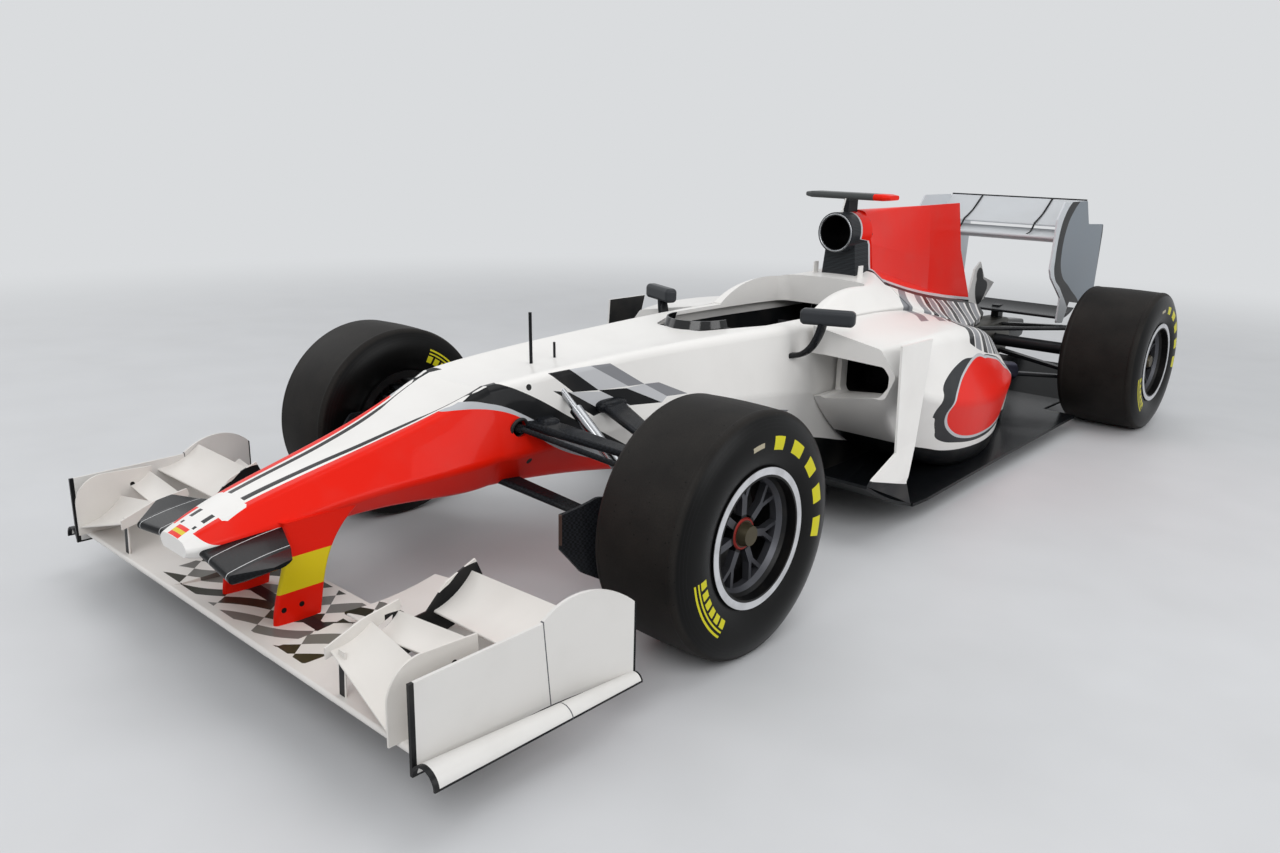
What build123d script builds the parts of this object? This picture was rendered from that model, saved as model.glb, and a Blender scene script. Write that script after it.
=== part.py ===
from build123d import *
import os
from math import hypot

# An open wheel racing car. X is the car's left, Y runs from nose to tail and Z is up.
# The origin lies on the ground, midway along and across the car's box. All sizes are in millimetres.
# A station is a distance behind the front axle, and a height is measured from the ground.

# Overall layout
WHEELBASE = 3212
FRONT_OVERHANG = 1075
REAR_OVERHANG = 543
HALF_WIDTH = 900
FRONT_AXLE_Y = (FRONT_OVERHANG - WHEELBASE - REAR_OVERHANG) / 2
NOSE_TIP = -FRONT_OVERHANG
REAR_END = WHEELBASE + REAR_OVERHANG

# Tyres and wheels
TYRE_RADIUS = 330
RIM_FLANGE_RADIUS = 185
RIM_SEAT_RADIUS = 168
RIM_WALL = 8
FLANGE_THICKNESS = 7
SIDEWALL_BULGE = 8
SHOULDER_DROP = 14
HUB_BORE_RADIUS = 30
HUB_RADIUS = 44
HUB_NUT_RADIUS = 34
HUB_NUT_LENGTH = 26
HUB_SETBACK = 52
SPOKE_COUNT = 7
SPOKE_WIDTH = 15
SPOKE_DEPTH = 20
SPOKE_FORK_RADIUS = 92
SPOKE_FORK_ANGLE = 15
SHAFT_FIT = 0.05

# Axles: station behind the front axle, outer and inner faces of the rim
FRONT_WHEEL = dict(station=0, outer=887, inner=612)
REAR_WHEEL = dict(station=WHEELBASE, outer=884, inner=530)

# Front steering geometry
KINGPIN_X = 675
BALL_RISE = 119
BALL_PIN_RADIUS = 8
TRACK_ARM_LENGTH = 62
TRACK_ARM_RISE = 95
TRACK_ROD_RADIUS = 8
TRACK_BALL_RADIUS = 13
TRACK_ROD_CLEARANCE = 16
RACK_STATION = -185
RACK_Z = 511
RACK_HALF_LENGTH = 205
RACK_RADIUS = 13
COLUMN_Z = 560
COLUMN_RADIUS = 12
STEERING_WHEEL_STATION = 955

# Suspension
REAR_BALL_X = 600
REAR_BALL_RISE = 125
PIVOT_HALF_HEIGHT = 10

# Monocoque and cockpit
TUB_WALL = 14
BULKHEAD_STATION = -260
TUB_END_STATION = 1960
COCKPIT_START = 705
COCKPIT_END = 1640
COCKPIT_HALF_WIDTH = 204
HEAD_HALF_WIDTH = 155

# Floor
REFERENCE_PLANE_Z = 62
FLOOR_THICKNESS = 12
FLOOR_TOP_Z = REFERENCE_PLANE_Z + FLOOR_THICKNESS
FLOOR_HALF_WIDTH = 700
PLANK_THICKNESS = 10
DIFFUSER_HALF_WIDTH = 480
DIFFUSER_RISE = 113

# Air intake over the driver's head
INTAKE_STATION = 1695
INTAKE_Z = 946
INTAKE_RADIUS = 68
INTAKE_WALL = 14
ROLL_END_STATION = 1850

# Rear end
ENGINE_END_STATION = WHEELBASE - 652
GEARBOX_END_STATION = WHEELBASE + 208
CRASH_BOX_END_STATION = REAR_END - 55
DIFFUSER_START_STATION = WHEELBASE - 12
SIDEPOD_END_STATION = WHEELBASE - 612
COVER_BASE_Z = 505
SIDEPOD_INNER_X = 285
DRIVE_BORE = 34
STARTER_BORE_RADIUS = 14
STARTER_BORE_DEPTH = 60

# Wings
WING_LE_STATION = NOSE_TIP + 75
WING_HALF_SPAN = 822
WING_CENTRE_HALF_SPAN = 255
WING_LE_Z = 148
PYLON_X = 128
FENCE_X = 515
CASCADE_OUTER_X = 765
REAR_WING_LE_STATION = WHEELBASE - 112
REAR_WING_HALF_WIDTH = 375
ENDPLATE_THICKNESS = 8

os.makedirs("parts", exist_ok=True)


def at(station):
    """Y of a place given by its distance behind the front axle."""
    return FRONT_AXLE_Y + station


def place(point):
    """Point of the car given as (x, station, height)."""
    return Vector(point[0], at(point[1]), point[2])


def across(station):
    """Plane across the car, local x to the car's left and local y up."""
    return Plane(origin=(0, at(station), 0), x_dir=(1, 0, 0), z_dir=(0, -1, 0))


def along(x):
    """Plane along the car, local x the station and local y up."""
    return Plane(origin=(x, FRONT_AXLE_Y, 0), x_dir=(0, 1, 0), z_dir=(1, 0, 0))


def level(z):
    """Level plane, local x to the car's left and local y the station."""
    return Plane(origin=(0, FRONT_AXLE_Y, z))


def save(node, *shapes):
    """Write one node from all the solids of the shapes."""
    solids = [solid for shape in shapes for solid in shape.solids()]
    export_step(solids[0] if len(solids) == 1 else Compound(solids), f"parts/{node}.step")


def pair(shape):
    """A piece on the car's left with its mirror image on the right."""
    return Compound([*shape.solids(), *mirror(shape, about=Plane.YZ).solids()])


def box_above(z):
    """A block over the whole car above a height."""
    tall = 2 * INTAKE_Z
    return Pos(0, 0, z + tall / 2) * Box(3 * HALF_WIDTH, 2 * (FRONT_OVERHANG + REAR_END), tall)


def polygon(points, rounding=0):
    """Face with straight sides, all its corners rounded alike."""
    face = make_face(Polyline(*points, close=True))
    return fillet(face.vertices(), rounding) if rounding else face


def hull(station, top, mid, bottom, half_top, half_mid, half_bottom, dip, round_top, round_mid, round_bottom):
    """Six-sided body section across the car: a top that sags by dip, a crease at mid height and a flat bottom."""
    crown = ThreePointArc((half_top, top), (0, top - dip), (-half_top, top))
    sides = Polyline((-half_top, top), (-half_mid, mid), (-half_bottom, bottom), (half_bottom, bottom),
                     (half_mid, mid), (half_top, top))
    face = make_face([crown, *sides.edges()])
    face = fillet(face.vertices().filter_by(lambda v: v.Y > top - 0.5), round_top)
    face = fillet(face.vertices().filter_by(lambda v: abs(v.Y - mid) < 0.01 and abs(abs(v.X) - half_mid) < 0.01),
                  round_mid)
    face = fillet(face.vertices().filter_by(lambda v: abs(v.Y - bottom) < 0.01), round_bottom)
    return across(station) * face


def hull_loft(sections, ruled=False):
    """Body through a table of hull sections."""
    return loft([hull(**section) for section in sections], ruled=ruled)


def pod_section(station, top_in, top_out, belly, bottom, half_top, half_belly, half_bottom, rounding):
    """Section of a sidepod on the car's left, upright on its inner wall."""
    outline = [(SIDEPOD_INNER_X, bottom), (half_bottom, bottom), (half_belly, belly), (half_top, top_out),
               (SIDEPOD_INNER_X, top_in)]
    face = polygon(outline)
    outer_corners = face.vertices().filter_by(lambda v: v.X > SIDEPOD_INNER_X + 1)
    return across(station) * fillet(outer_corners, rounding)


def blade(le, te, thickness, camber, edge=2):
    """Downforce section in the plane along the car: le and te are (station, height) of its two edges."""
    chord = hypot(te[0] - le[0], te[1] - le[1])
    run_dir = ((te[0] - le[0]) / chord, (te[1] - le[1]) / chord)
    down_dir = (run_dir[1], -run_dir[0])

    def point(run, drop):
        return (le[0] + run_dir[0] * run + down_dir[0] * drop, le[1] + run_dir[1] * run + down_dir[1] * drop)

    nose = thickness * 0.35
    belly = ThreePointArc(point(nose, nose), point(chord * 0.45, camber + thickness / 2), point(chord, edge / 2))
    tail = Line(point(chord, edge / 2), point(chord, -edge / 2))
    back = ThreePointArc(point(chord, -edge / 2), point(chord * 0.45, camber - thickness / 2), point(nose, -nose))
    front = ThreePointArc(point(nose, -nose), point(0, 0), point(nose, nose))
    return make_face([belly, tail, back, front])


def straight_blade(profile, x0, x1):
    """Blade profile carried straight across the car."""
    return extrude(along(x0) * profile, x1 - x0)


def twisted_blade(*profiles):
    """Blade through (x, profile) pairs, straight from one to the next."""
    return loft([along(x) * profile for x, profile in profiles], ruled=True)


def plate(outline, x, thickness, rounding=0):
    """Upright plate along the car from (station, height) points, its thickness outwards from x."""
    return extrude(along(x) * polygon(outline, rounding), thickness)


def leg(root, tip, root_size, tip_size):
    """Suspension leg between two (x, station, height) points, its (chord, thickness) given at both ends."""
    start = place(root)
    run = place(tip) - start
    side = run.cross(Vector(0, 0, 1))
    root_plane = Plane(origin=start, x_dir=side, z_dir=run)
    tip_plane = Plane(origin=place(tip), x_dir=side, z_dir=run)
    return loft([root_plane * SlotOverall(*root_size), tip_plane * SlotOverall(*tip_size)])


def rod(start, end, radius):
    """Round rod between two (x, station, height) points."""
    first = place(start)
    run = place(end) - first
    side = run.cross(Vector(0, 0, 1)) if hypot(run.X, run.Y) > 1e-6 else Vector(1, 0, 0)
    return extrude(Plane(origin=first, x_dir=side, z_dir=run) * Circle(radius), run.length)


def wheel_axis(station):
    """Axis that a wheel turns on."""
    return Axis((0, at(station), TYRE_RADIUS), (1, 0, 0))


def turned(station, profile):
    """Turn a profile of (x, radius) about a wheel's axis."""
    seat = Plane(origin=(0, at(station), TYRE_RADIUS), x_dir=(1, 0, 0), z_dir=(0, -1, 0))
    return revolve(seat * profile, wheel_axis(station))


def tyre(station, outer, inner):
    """Slick tyre: beads on the rim seat, bulging walls, rounded shoulders and a crowned tread."""
    bead_out = outer - FLANGE_THICKNESS
    bead_in = inner + FLANGE_THICKNESS
    shoulder = TYRE_RADIUS - SHOULDER_DROP
    shoulder_inset = 10
    tread_inset = (outer - inner) * 0.085 + 6
    crown = 3
    mid_wall = (RIM_FLANGE_RADIUS + shoulder) / 2
    bead_top = RIM_FLANGE_RADIUS + 1
    wall_out = (outer - shoulder_inset, shoulder)
    wall_in = (inner + shoulder_inset, shoulder)
    tread_out = (outer - tread_inset, TYRE_RADIUS - crown)
    tread_in = (inner + tread_inset, TYRE_RADIUS - crown)
    lines = [
        Line((bead_in, RIM_SEAT_RADIUS), (bead_out, RIM_SEAT_RADIUS)),
        Line((bead_out, RIM_SEAT_RADIUS), (bead_out, bead_top)),
        ThreePointArc((bead_out, bead_top), (outer + SIDEWALL_BULGE, mid_wall), wall_out),
        ThreePointArc(wall_out, (outer - shoulder_inset - 6, shoulder + 8), tread_out),
        ThreePointArc(tread_out, ((outer + inner) / 2, TYRE_RADIUS), tread_in),
        ThreePointArc(tread_in, (inner + shoulder_inset + 6, shoulder + 8), wall_in),
        ThreePointArc(wall_in, (inner - SIDEWALL_BULGE, mid_wall), (bead_in, bead_top)),
        Line((bead_in, bead_top), (bead_in, RIM_SEAT_RADIUS)),
    ]
    return turned(station, make_face(lines))


def spoke(station, outer_face, reach):
    """Forked spoke: a stem from the hub that splits into two arms before the rim."""
    wheel_plane = Plane(origin=(outer_face, at(station), TYRE_RADIUS), x_dir=(0, 1, 0), z_dir=(1, 0, 0))
    stem_length = SPOKE_FORK_RADIUS - HUB_RADIUS + 12
    stem = Pos(0, HUB_RADIUS - 6 + stem_length / 2) * Rectangle(SPOKE_WIDTH + 5, stem_length)
    arm_length = reach - SPOKE_FORK_RADIUS + 10
    shape = stem
    for lean in (-SPOKE_FORK_ANGLE, SPOKE_FORK_ANGLE):
        arm = Pos(0, arm_length / 2) * Rectangle(SPOKE_WIDTH - 4, arm_length)
        shape = shape + Pos(0, SPOKE_FORK_RADIUS - 6) * Rot(0, 0, 1.6 * lean) * arm
    return extrude(wheel_plane * shape, -SPOKE_DEPTH)


def rim(station, outer, inner, hub_inner):
    """Wheel: barrel with flanges, a sloping face ring, forked spokes, a hub and its nut."""
    barrel = RIM_SEAT_RADIUS - RIM_WALL
    seat_out = outer - FLANGE_THICKNESS
    seat_in = inner + FLANGE_THICKNESS
    body = turned(station, polygon([
        (inner, barrel), (outer, barrel), (outer, RIM_FLANGE_RADIUS), (seat_out, RIM_FLANGE_RADIUS),
        (seat_out, RIM_SEAT_RADIUS), (seat_in, RIM_SEAT_RADIUS), (seat_in, RIM_FLANGE_RADIUS),
        (inner, RIM_FLANGE_RADIUS)]))
    hub_outer = outer - HUB_SETBACK
    ring_inner = barrel - 16
    face_ring = turned(station, polygon([
        (hub_outer - SPOKE_DEPTH, ring_inner), (hub_outer, ring_inner), (hub_outer + 28, barrel + 3),
        (hub_outer - SPOKE_DEPTH, barrel + 3)]))
    hub = turned(station, polygon([
        (hub_inner, HUB_BORE_RADIUS), (hub_outer - 8, HUB_BORE_RADIUS), (hub_outer - 8, 0), (hub_outer + 4, 0),
        (hub_outer + 4, HUB_RADIUS - 4), (hub_outer, HUB_RADIUS), (hub_inner, HUB_RADIUS)]))
    nut = turned(station, polygon([
        (hub_outer, 0), (hub_outer + HUB_NUT_LENGTH, 0), (hub_outer + HUB_NUT_LENGTH, HUB_NUT_RADIUS - 8),
        (hub_outer, HUB_NUT_RADIUS)]))
    first = spoke(station, hub_outer, ring_inner)
    spokes = [first.rotate(wheel_axis(station), 360 * n / SPOKE_COUNT) for n in range(SPOKE_COUNT)]
    return body + face_ring + hub + nut + spokes


# Nose cone, from its tip to the front bulkhead
BULKHEAD_SECTION = dict(station=BULKHEAD_STATION, top=636, mid=440, bottom=345, half_top=153, half_mid=204,
                        half_bottom=145, dip=14, round_top=24, round_mid=30, round_bottom=40)
NOSE_SECTIONS = [
    dict(station=NOSE_TIP, top=382, mid=366, bottom=346, half_top=52, half_mid=70, half_bottom=56, dip=-4,
         round_top=12, round_mid=10, round_bottom=12),
    dict(station=NOSE_TIP + 75, top=412, mid=375, bottom=335, half_top=66, half_mid=104, half_bottom=80, dip=-6,
         round_top=20, round_mid=14, round_bottom=18),
    dict(station=NOSE_TIP + 355, top=489, mid=410, bottom=356, half_top=92, half_mid=150, half_bottom=110, dip=-4,
         round_top=24, round_mid=20, round_bottom=24),
    dict(station=NOSE_TIP + 595, top=556, mid=428, bottom=352, half_top=116, half_mid=180, half_bottom=128, dip=2,
         round_top=24, round_mid=24, round_bottom=32),
    BULKHEAD_SECTION,
]
nose = hull_loft(NOSE_SECTIONS)
save("nose_cone", nose)

# Monocoque: closed sides, hollow inside, open above the driver
TUB_SECTIONS = [
    BULKHEAD_SECTION,
    dict(station=0, top=659, mid=440, bottom=322, half_top=176, half_mid=214, half_bottom=152, dip=26,
         round_top=26, round_mid=32, round_bottom=44),
    dict(station=500, top=672, mid=460, bottom=235, half_top=212, half_mid=246, half_bottom=190, dip=14,
         round_top=30, round_mid=40, round_bottom=50),
    dict(station=850, top=674, mid=450, bottom=150, half_top=246, half_mid=280, half_bottom=232, dip=6,
         round_top=34, round_mid=60, round_bottom=60),
    dict(station=1200, top=674, mid=400, bottom=REFERENCE_PLANE_Z, half_top=264, half_mid=281, half_bottom=262,
         dip=2, round_top=36, round_mid=60, round_bottom=60),
    dict(station=TUB_END_STATION, top=655, mid=400, bottom=REFERENCE_PLANE_Z, half_top=250, half_mid=270,
         half_bottom=262, dip=2, round_top=36, round_mid=60, round_bottom=60),
]
END_WALL = 40


def inside(section):
    """The same section smaller by the wall, with the ends drawn in to leave the bulkheads."""
    shrink = {key: section[key] - TUB_WALL for key in section if key.startswith(("half", "round"))}
    station = min(max(section["station"], BULKHEAD_STATION + 25), TUB_END_STATION - END_WALL)
    return dict(section, **shrink, station=station, top=section["top"] - TUB_WALL,
                bottom=section["bottom"] + TUB_WALL)


tub_outer = hull_loft(TUB_SECTIONS) & box_above(FLOOR_TOP_Z)
tub_inner = hull_loft([inside(section) for section in TUB_SECTIONS]) & box_above(FLOOR_TOP_Z + TUB_WALL)
cockpit_cut = extrude(level(COLUMN_Z - 40) * polygon([
    (-100, COCKPIT_START), (100, COCKPIT_START), (COCKPIT_HALF_WIDTH, COCKPIT_START + 245),
    (COCKPIT_HALF_WIDTH, COCKPIT_END), (-COCKPIT_HALF_WIDTH, COCKPIT_END),
    (-COCKPIT_HALF_WIDTH, COCKPIT_START + 245)], 45), 400)
rod_slot = rod((-400, RACK_STATION, RACK_Z), (400, RACK_STATION, RACK_Z), TRACK_ROD_RADIUS + TRACK_ROD_CLEARANCE)
save("monocoque", tub_outer - tub_inner - cockpit_cut - rod_slot)

# Raised white collar round the driver's head, one piece behind the opening
COLLAR_SECTIONS = [
    dict(station=1215, top=678, mid=660, bottom=600, half_top=240, half_mid=276, half_bottom=270, dip=1,
         round_top=12, round_mid=8, round_bottom=4),
    dict(station=1330, top=734, mid=670, bottom=600, half_top=232, half_mid=280, half_bottom=272, dip=-4,
         round_top=26, round_mid=10, round_bottom=4),
    dict(station=1440, top=756, mid=672, bottom=600, half_top=222, half_mid=280, half_bottom=272, dip=-6,
         round_top=34, round_mid=10, round_bottom=4),
    dict(station=1640, top=760, mid=668, bottom=600, half_top=198, half_mid=278, half_bottom=270, dip=-8,
         round_top=44, round_mid=10, round_bottom=4),
    dict(station=ROLL_END_STATION, top=796, mid=662, bottom=600, half_top=96, half_mid=276, half_bottom=264, dip=-8,
         round_top=44, round_mid=10, round_bottom=4),
]
collar_solid = hull_loft(COLLAR_SECTIONS)
head_length = COCKPIT_END - 1250
head_space = extrude(level(600) * Pos(0, COCKPIT_END - head_length / 2) * RectangleRounded(
    2 * HEAD_HALF_WIDTH, head_length, 70), 300)

# Roll structure: round intake tube on a faired foot
intake_outer = INTAKE_RADIUS + INTAKE_WALL
intake_tube = rod((0, INTAKE_STATION, INTAKE_Z), (0, ROLL_END_STATION, INTAKE_Z), intake_outer)
intake_bore = rod((0, INTAKE_STATION - 10, INTAKE_Z), (0, ROLL_END_STATION - 12, INTAKE_Z), INTAKE_RADIUS)
ROLL_FOOT_SECTIONS = [
    dict(station=INTAKE_STATION + 45, top=INTAKE_Z - 30, mid=800, bottom=640, half_top=66, half_mid=78,
         half_bottom=92, dip=1, round_top=20, round_mid=20, round_bottom=4),
    dict(station=ROLL_END_STATION, top=INTAKE_Z + 40, mid=820, bottom=640, half_top=70, half_mid=84,
         half_bottom=112, dip=1, round_top=24, round_mid=20, round_bottom=4),
]
roll_foot = hull_loft(ROLL_FOOT_SECTIONS)
roll_body = (roll_foot + intake_tube) - intake_bore - tub_outer
collar = collar_solid - tub_outer - cockpit_cut - head_space - roll_body - intake_bore
save("cockpit_surround", collar)
save("roll_structure", roll_body)

# Camera bar across the top of the intake, with tapered tips
BAR_STATION = INTAKE_STATION + 105
BAR_Z = 1092
bar = loft([along(x) * Pos(BAR_STATION, BAR_Z) * SlotOverall(chord, thickness)
            for x, chord, thickness in ((-199, 72, 18), (-168, 100, 26), (168, 100, 26), (199, 72, 18))], ruled=True)
bar_foot = Pos(0, at(BAR_STATION), (BAR_Z + INTAKE_Z) / 2) * Box(24, 70, BAR_Z - INTAKE_Z)
save("camera_bar", (bar + bar_foot) - roll_body - intake_bore)

# Low windscreen in front of the driver
SCREEN_STATION = COCKPIT_START + 130
SCREEN_WALL = 4
SCREEN_RINGS = [dict(z=640, half_width=132, half_length=152), dict(z=694, half_width=114, half_length=128)]
screen_outer = loft([level(r["z"]) * Pos(0, SCREEN_STATION) * Ellipse(r["half_width"], r["half_length"])
                     for r in SCREEN_RINGS])
screen_inner = loft([level(r["z"]) * Pos(0, SCREEN_STATION) * Ellipse(
    r["half_width"] - SCREEN_WALL, r["half_length"] - SCREEN_WALL) for r in SCREEN_RINGS])
screen_front = extrude(level(600) * Pos(0, SCREEN_STATION - 100) * Rectangle(400, 200), 200)
save("windscreen", ((screen_outer - screen_inner) & screen_front) - tub_outer)

# Seat shell, resting on the floor of the tub
SEAT_BASE_Z = FLOOR_TOP_Z + TUB_WALL + 0.3
seat_outline = [(1120, 118), (1180, SEAT_BASE_Z), (1430, SEAT_BASE_Z), (1490, 130), (1640, 560), (1600, 575),
                (1455, 160), (1180, 135), (1120, 150)]
save("seat", plate(seat_outline, -190, 380) & tub_inner)

# Steering: the housing is fixed in the tub, the rack slides in it, the column turns
HOUSING_HALF_LENGTH = 110
BEARING_START = RACK_STATION + 5
housing_tube = rod((-HOUSING_HALF_LENGTH, RACK_STATION, RACK_Z), (HOUSING_HALF_LENGTH, RACK_STATION, RACK_Z),
                   RACK_RADIUS + 12)
rack_bore = rod((-HOUSING_HALF_LENGTH, RACK_STATION, RACK_Z), (HOUSING_HALF_LENGTH, RACK_STATION, RACK_Z),
                RACK_RADIUS + SHAFT_FIT)
housing_foot = Pos(0, at(RACK_STATION), (RACK_Z + 345) / 2) * Box(160, 30, RACK_Z - 345)
pinion_tower = Pos(0, at(RACK_STATION), (RACK_Z + COLUMN_Z) / 2 + 8) * Box(60, 50, COLUMN_Z - RACK_Z + 28)
column_bore = rod((0, BEARING_START, COLUMN_Z), (0, BEARING_START + 55, COLUMN_Z), COLUMN_RADIUS + SHAFT_FIT)
housing = ((housing_tube + housing_foot + pinion_tower) - rack_bore - column_bore) & tub_inner
DASH_STATION = COCKPIT_START + 95
dash = (Pos(0, at(DASH_STATION), COLUMN_Z) * Box(600, 16, 170)) & tub_inner
dash = dash - rod((0, DASH_STATION - 20, COLUMN_Z), (0, DASH_STATION + 20, COLUMN_Z), COLUMN_RADIUS + SHAFT_FIT)
save("steering_housing", housing, dash)

rack = rod((-RACK_HALF_LENGTH, RACK_STATION, RACK_Z), (RACK_HALF_LENGTH, RACK_STATION, RACK_Z), RACK_RADIUS)
track_end = (KINGPIN_X - 5, -TRACK_ARM_LENGTH, TYRE_RADIUS + TRACK_ARM_RISE)
track_rod = rod((RACK_HALF_LENGTH - 8, RACK_STATION, RACK_Z), track_end, TRACK_ROD_RADIUS)
track_ball = Pos(place(track_end)) * Sphere(TRACK_BALL_RADIUS)
save("steering_rack", rack + pair(track_rod + track_ball))

column = rod((0, BEARING_START + 1, COLUMN_Z), (0, STEERING_WHEEL_STATION, COLUMN_Z), COLUMN_RADIUS)
grip_face = RectangleRounded(270, 165, 55) - RectangleRounded(210, 105, 30) + Rectangle(214, 60)
grip = extrude(across(STEERING_WHEEL_STATION) * Pos(0, COLUMN_Z) * grip_face, 24)
save("steering_wheel", grip + column)

# Front wing: neutral centre with a long chord, shorter main plane outboard
MAIN_TE_STATION = WING_LE_STATION + 205
centre_plane = straight_blade(blade((WING_LE_STATION, WING_LE_Z), (WING_LE_STATION + 310, 152), 24, 20),
                              -WING_CENTRE_HALF_SPAN, WING_CENTRE_HALF_SPAN)
side_plane = straight_blade(blade((WING_LE_STATION, WING_LE_Z), (MAIN_TE_STATION, 164), 22, 12),
                            WING_CENTRE_HALF_SPAN - 10, WING_HALF_SPAN)
main_wing = centre_plane + pair(side_plane)
save("front_wing_main", main_wing)

# Front flap behind the main plane, steeper outboard
FLAP_INNER_X = WING_CENTRE_HALF_SPAN + 7
flap = twisted_blade(
    (FLAP_INNER_X, blade((MAIN_TE_STATION - 6, 186), (MAIN_TE_STATION + 258, 205), 12, 14)),
    (WING_HALF_SPAN, blade((MAIN_TE_STATION - 6, 188), (MAIN_TE_STATION + 290, 262), 12, 20)))
flap_bracket = plate([(MAIN_TE_STATION - 60, 140), (MAIN_TE_STATION + 40, 150), (MAIN_TE_STATION + 40, 186),
                      (MAIN_TE_STATION - 20, 186)], FLAP_INNER_X + 60, 5)
save("front_wing_flaps", pair((flap + flap_bracket) - main_wing))

# Cascades: three blades between an inner fence and an outer plate, on a strut
cascade_low = twisted_blade(
    (FENCE_X, blade((WING_LE_STATION + 12, 249), (WING_LE_STATION + 112, 284), 8, 12)),
    (CASCADE_OUTER_X, blade((WING_LE_STATION - 20, 178), (WING_LE_STATION + 100, 246), 8, 16)))
cascade_mid = twisted_blade(
    (FENCE_X, blade((WING_LE_STATION + 118, 247), (WING_LE_STATION + 181, 286), 7, 8)),
    (CASCADE_OUTER_X, blade((WING_LE_STATION + 130, 268), (WING_LE_STATION + 188, 304), 7, 8)))
cascade_high = twisted_blade(
    (FENCE_X, blade((WING_LE_STATION + 274, 250), (WING_LE_STATION + 384, 318), 10, 14)),
    (WING_HALF_SPAN, blade((WING_LE_STATION + 234, 282), (WING_LE_STATION + 366, 338), 10, 16)))
fence_front = plate([(WING_LE_STATION, 236), (WING_LE_STATION + 115, 262), (WING_LE_STATION + 190, 292),
                     (WING_LE_STATION + 184, 312), (WING_LE_STATION + 90, 296), (WING_LE_STATION, 262)],
                    FENCE_X - 5, 5)
fence_rear = plate([(WING_LE_STATION + 150, 165), (WING_LE_STATION + 330, 200), (WING_LE_STATION + 415, 300),
                    (WING_LE_STATION + 395, 345), (WING_LE_STATION + 310, 312), (WING_LE_STATION + 255, 258),
                    (WING_LE_STATION + 180, 252), (WING_LE_STATION + 188, 306), (WING_LE_STATION + 172, 300)],
                   FENCE_X - 5, 5)
outer_plate_face = polygon([(WING_LE_STATION - 25, 155), (WING_LE_STATION + 200, 160), (WING_LE_STATION + 195, 318),
                            (WING_LE_STATION - 25, 328)])
outer_plate_face = fillet(outer_plate_face.vertices().sort_by(Axis.X)[:2].sort_by(Axis.Y)[-1], 80)
outer_plate = extrude(along(CASCADE_OUTER_X) * outer_plate_face, 5)
strut = leg((FENCE_X + 25, WING_LE_STATION + 20, WING_LE_Z), (FENCE_X + 25, WING_LE_STATION + 24, 258),
            (26, 5), (26, 5))
cascades = fence_front + fence_rear + outer_plate + cascade_low + cascade_mid + cascade_high + strut
save("front_wing_cascades", pair((cascades - main_wing - flap).solids().sort_by(SortBy.VOLUME)[-1]))

# Front wing endplates: straight ahead, curling outwards behind, with a rounded channel along the foot
ENDPLATE_FOOT_Z = 114
ENDPLATE_BEND = WING_LE_STATION + 315
ENDPLATE_REAR = WING_LE_STATION + 556
ENDPLATE_TOP_Z = 310
REAR_FLARE = 46


def endplate_path(offset):
    """Plan curve of the endplate at an offset outwards from its inner face."""
    front = (WING_HALF_SPAN + offset, NOSE_TIP + 60)
    bend = (WING_HALF_SPAN + offset, ENDPLATE_BEND)
    middle = (WING_HALF_SPAN + offset + REAR_FLARE * 0.3, (ENDPLATE_BEND + ENDPLATE_REAR) / 2)
    rear = (WING_HALF_SPAN + offset + REAR_FLARE, ENDPLATE_REAR)
    return [Line(front, bend), ThreePointArc(bend, middle, rear)]


outside = endplate_path(ENDPLATE_THICKNESS)
within = endplate_path(0)
sheet_face = make_face([*within, Line(within[1] @ 1, outside[1] @ 1), *outside, Line(outside[0] @ 0, within[0] @ 0)])
sheet = extrude(level(0) * sheet_face, 400)
side_front = NOSE_TIP + 60
side_view = make_face([
    Polyline((ENDPLATE_REAR, ENDPLATE_TOP_Z - 10), (ENDPLATE_REAR, ENDPLATE_FOOT_Z), (side_front, ENDPLATE_FOOT_Z),
             (side_front, ENDPLATE_TOP_Z), (ENDPLATE_BEND, ENDPLATE_TOP_Z + 6)),
    ThreePointArc((ENDPLATE_BEND, ENDPLATE_TOP_Z + 6), (ENDPLATE_BEND + 118, ENDPLATE_TOP_Z + 46),
                  (ENDPLATE_REAR, ENDPLATE_TOP_Z - 10)),
])
endplate = sheet & extrude(along(WING_HALF_SPAN - 50) * side_view, 200)


def channel(station, centre_x, radius, wall):
    """Half ring across the car, open below."""
    ring = make_face([
        ThreePointArc((centre_x - radius, ENDPLATE_FOOT_Z), (centre_x, ENDPLATE_FOOT_Z + radius),
                      (centre_x + radius, ENDPLATE_FOOT_Z)),
        Line((centre_x + radius, ENDPLATE_FOOT_Z), (centre_x + radius - wall, ENDPLATE_FOOT_Z)),
        ThreePointArc((centre_x + radius - wall, ENDPLATE_FOOT_Z), (centre_x, ENDPLATE_FOOT_Z + radius - wall),
                      (centre_x - radius + wall, ENDPLATE_FOOT_Z)),
        Line((centre_x - radius + wall, ENDPLATE_FOOT_Z), (centre_x - radius, ENDPLATE_FOOT_Z)),
    ])
    return across(station) * ring


foot_front = (HALF_WIDTH - WING_HALF_SPAN - 2) / 2
foot_rear = 20
foot_channel = loft([channel(side_front, HALF_WIDTH - foot_front, foot_front, 5),
                     channel(ENDPLATE_REAR, HALF_WIDTH - foot_rear, foot_rear, 5)])
save("front_wing_endplates", pair((endplate + foot_channel) - main_wing - flap - cascade_high))

# Black pods either side of the nose tip
pod = twisted_blade(
    (50, blade((NOSE_TIP + 28, 354), (NOSE_TIP + 230, 396), 34, 6)),
    (235, blade((NOSE_TIP + 14, 340), (NOSE_TIP + 165, 376), 34, 6)),
    (300, blade((NOSE_TIP + 88, 368), (NOSE_TIP + 132, 378), 10, 2)))
save("nose_pods", pair(pod - nose))

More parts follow.
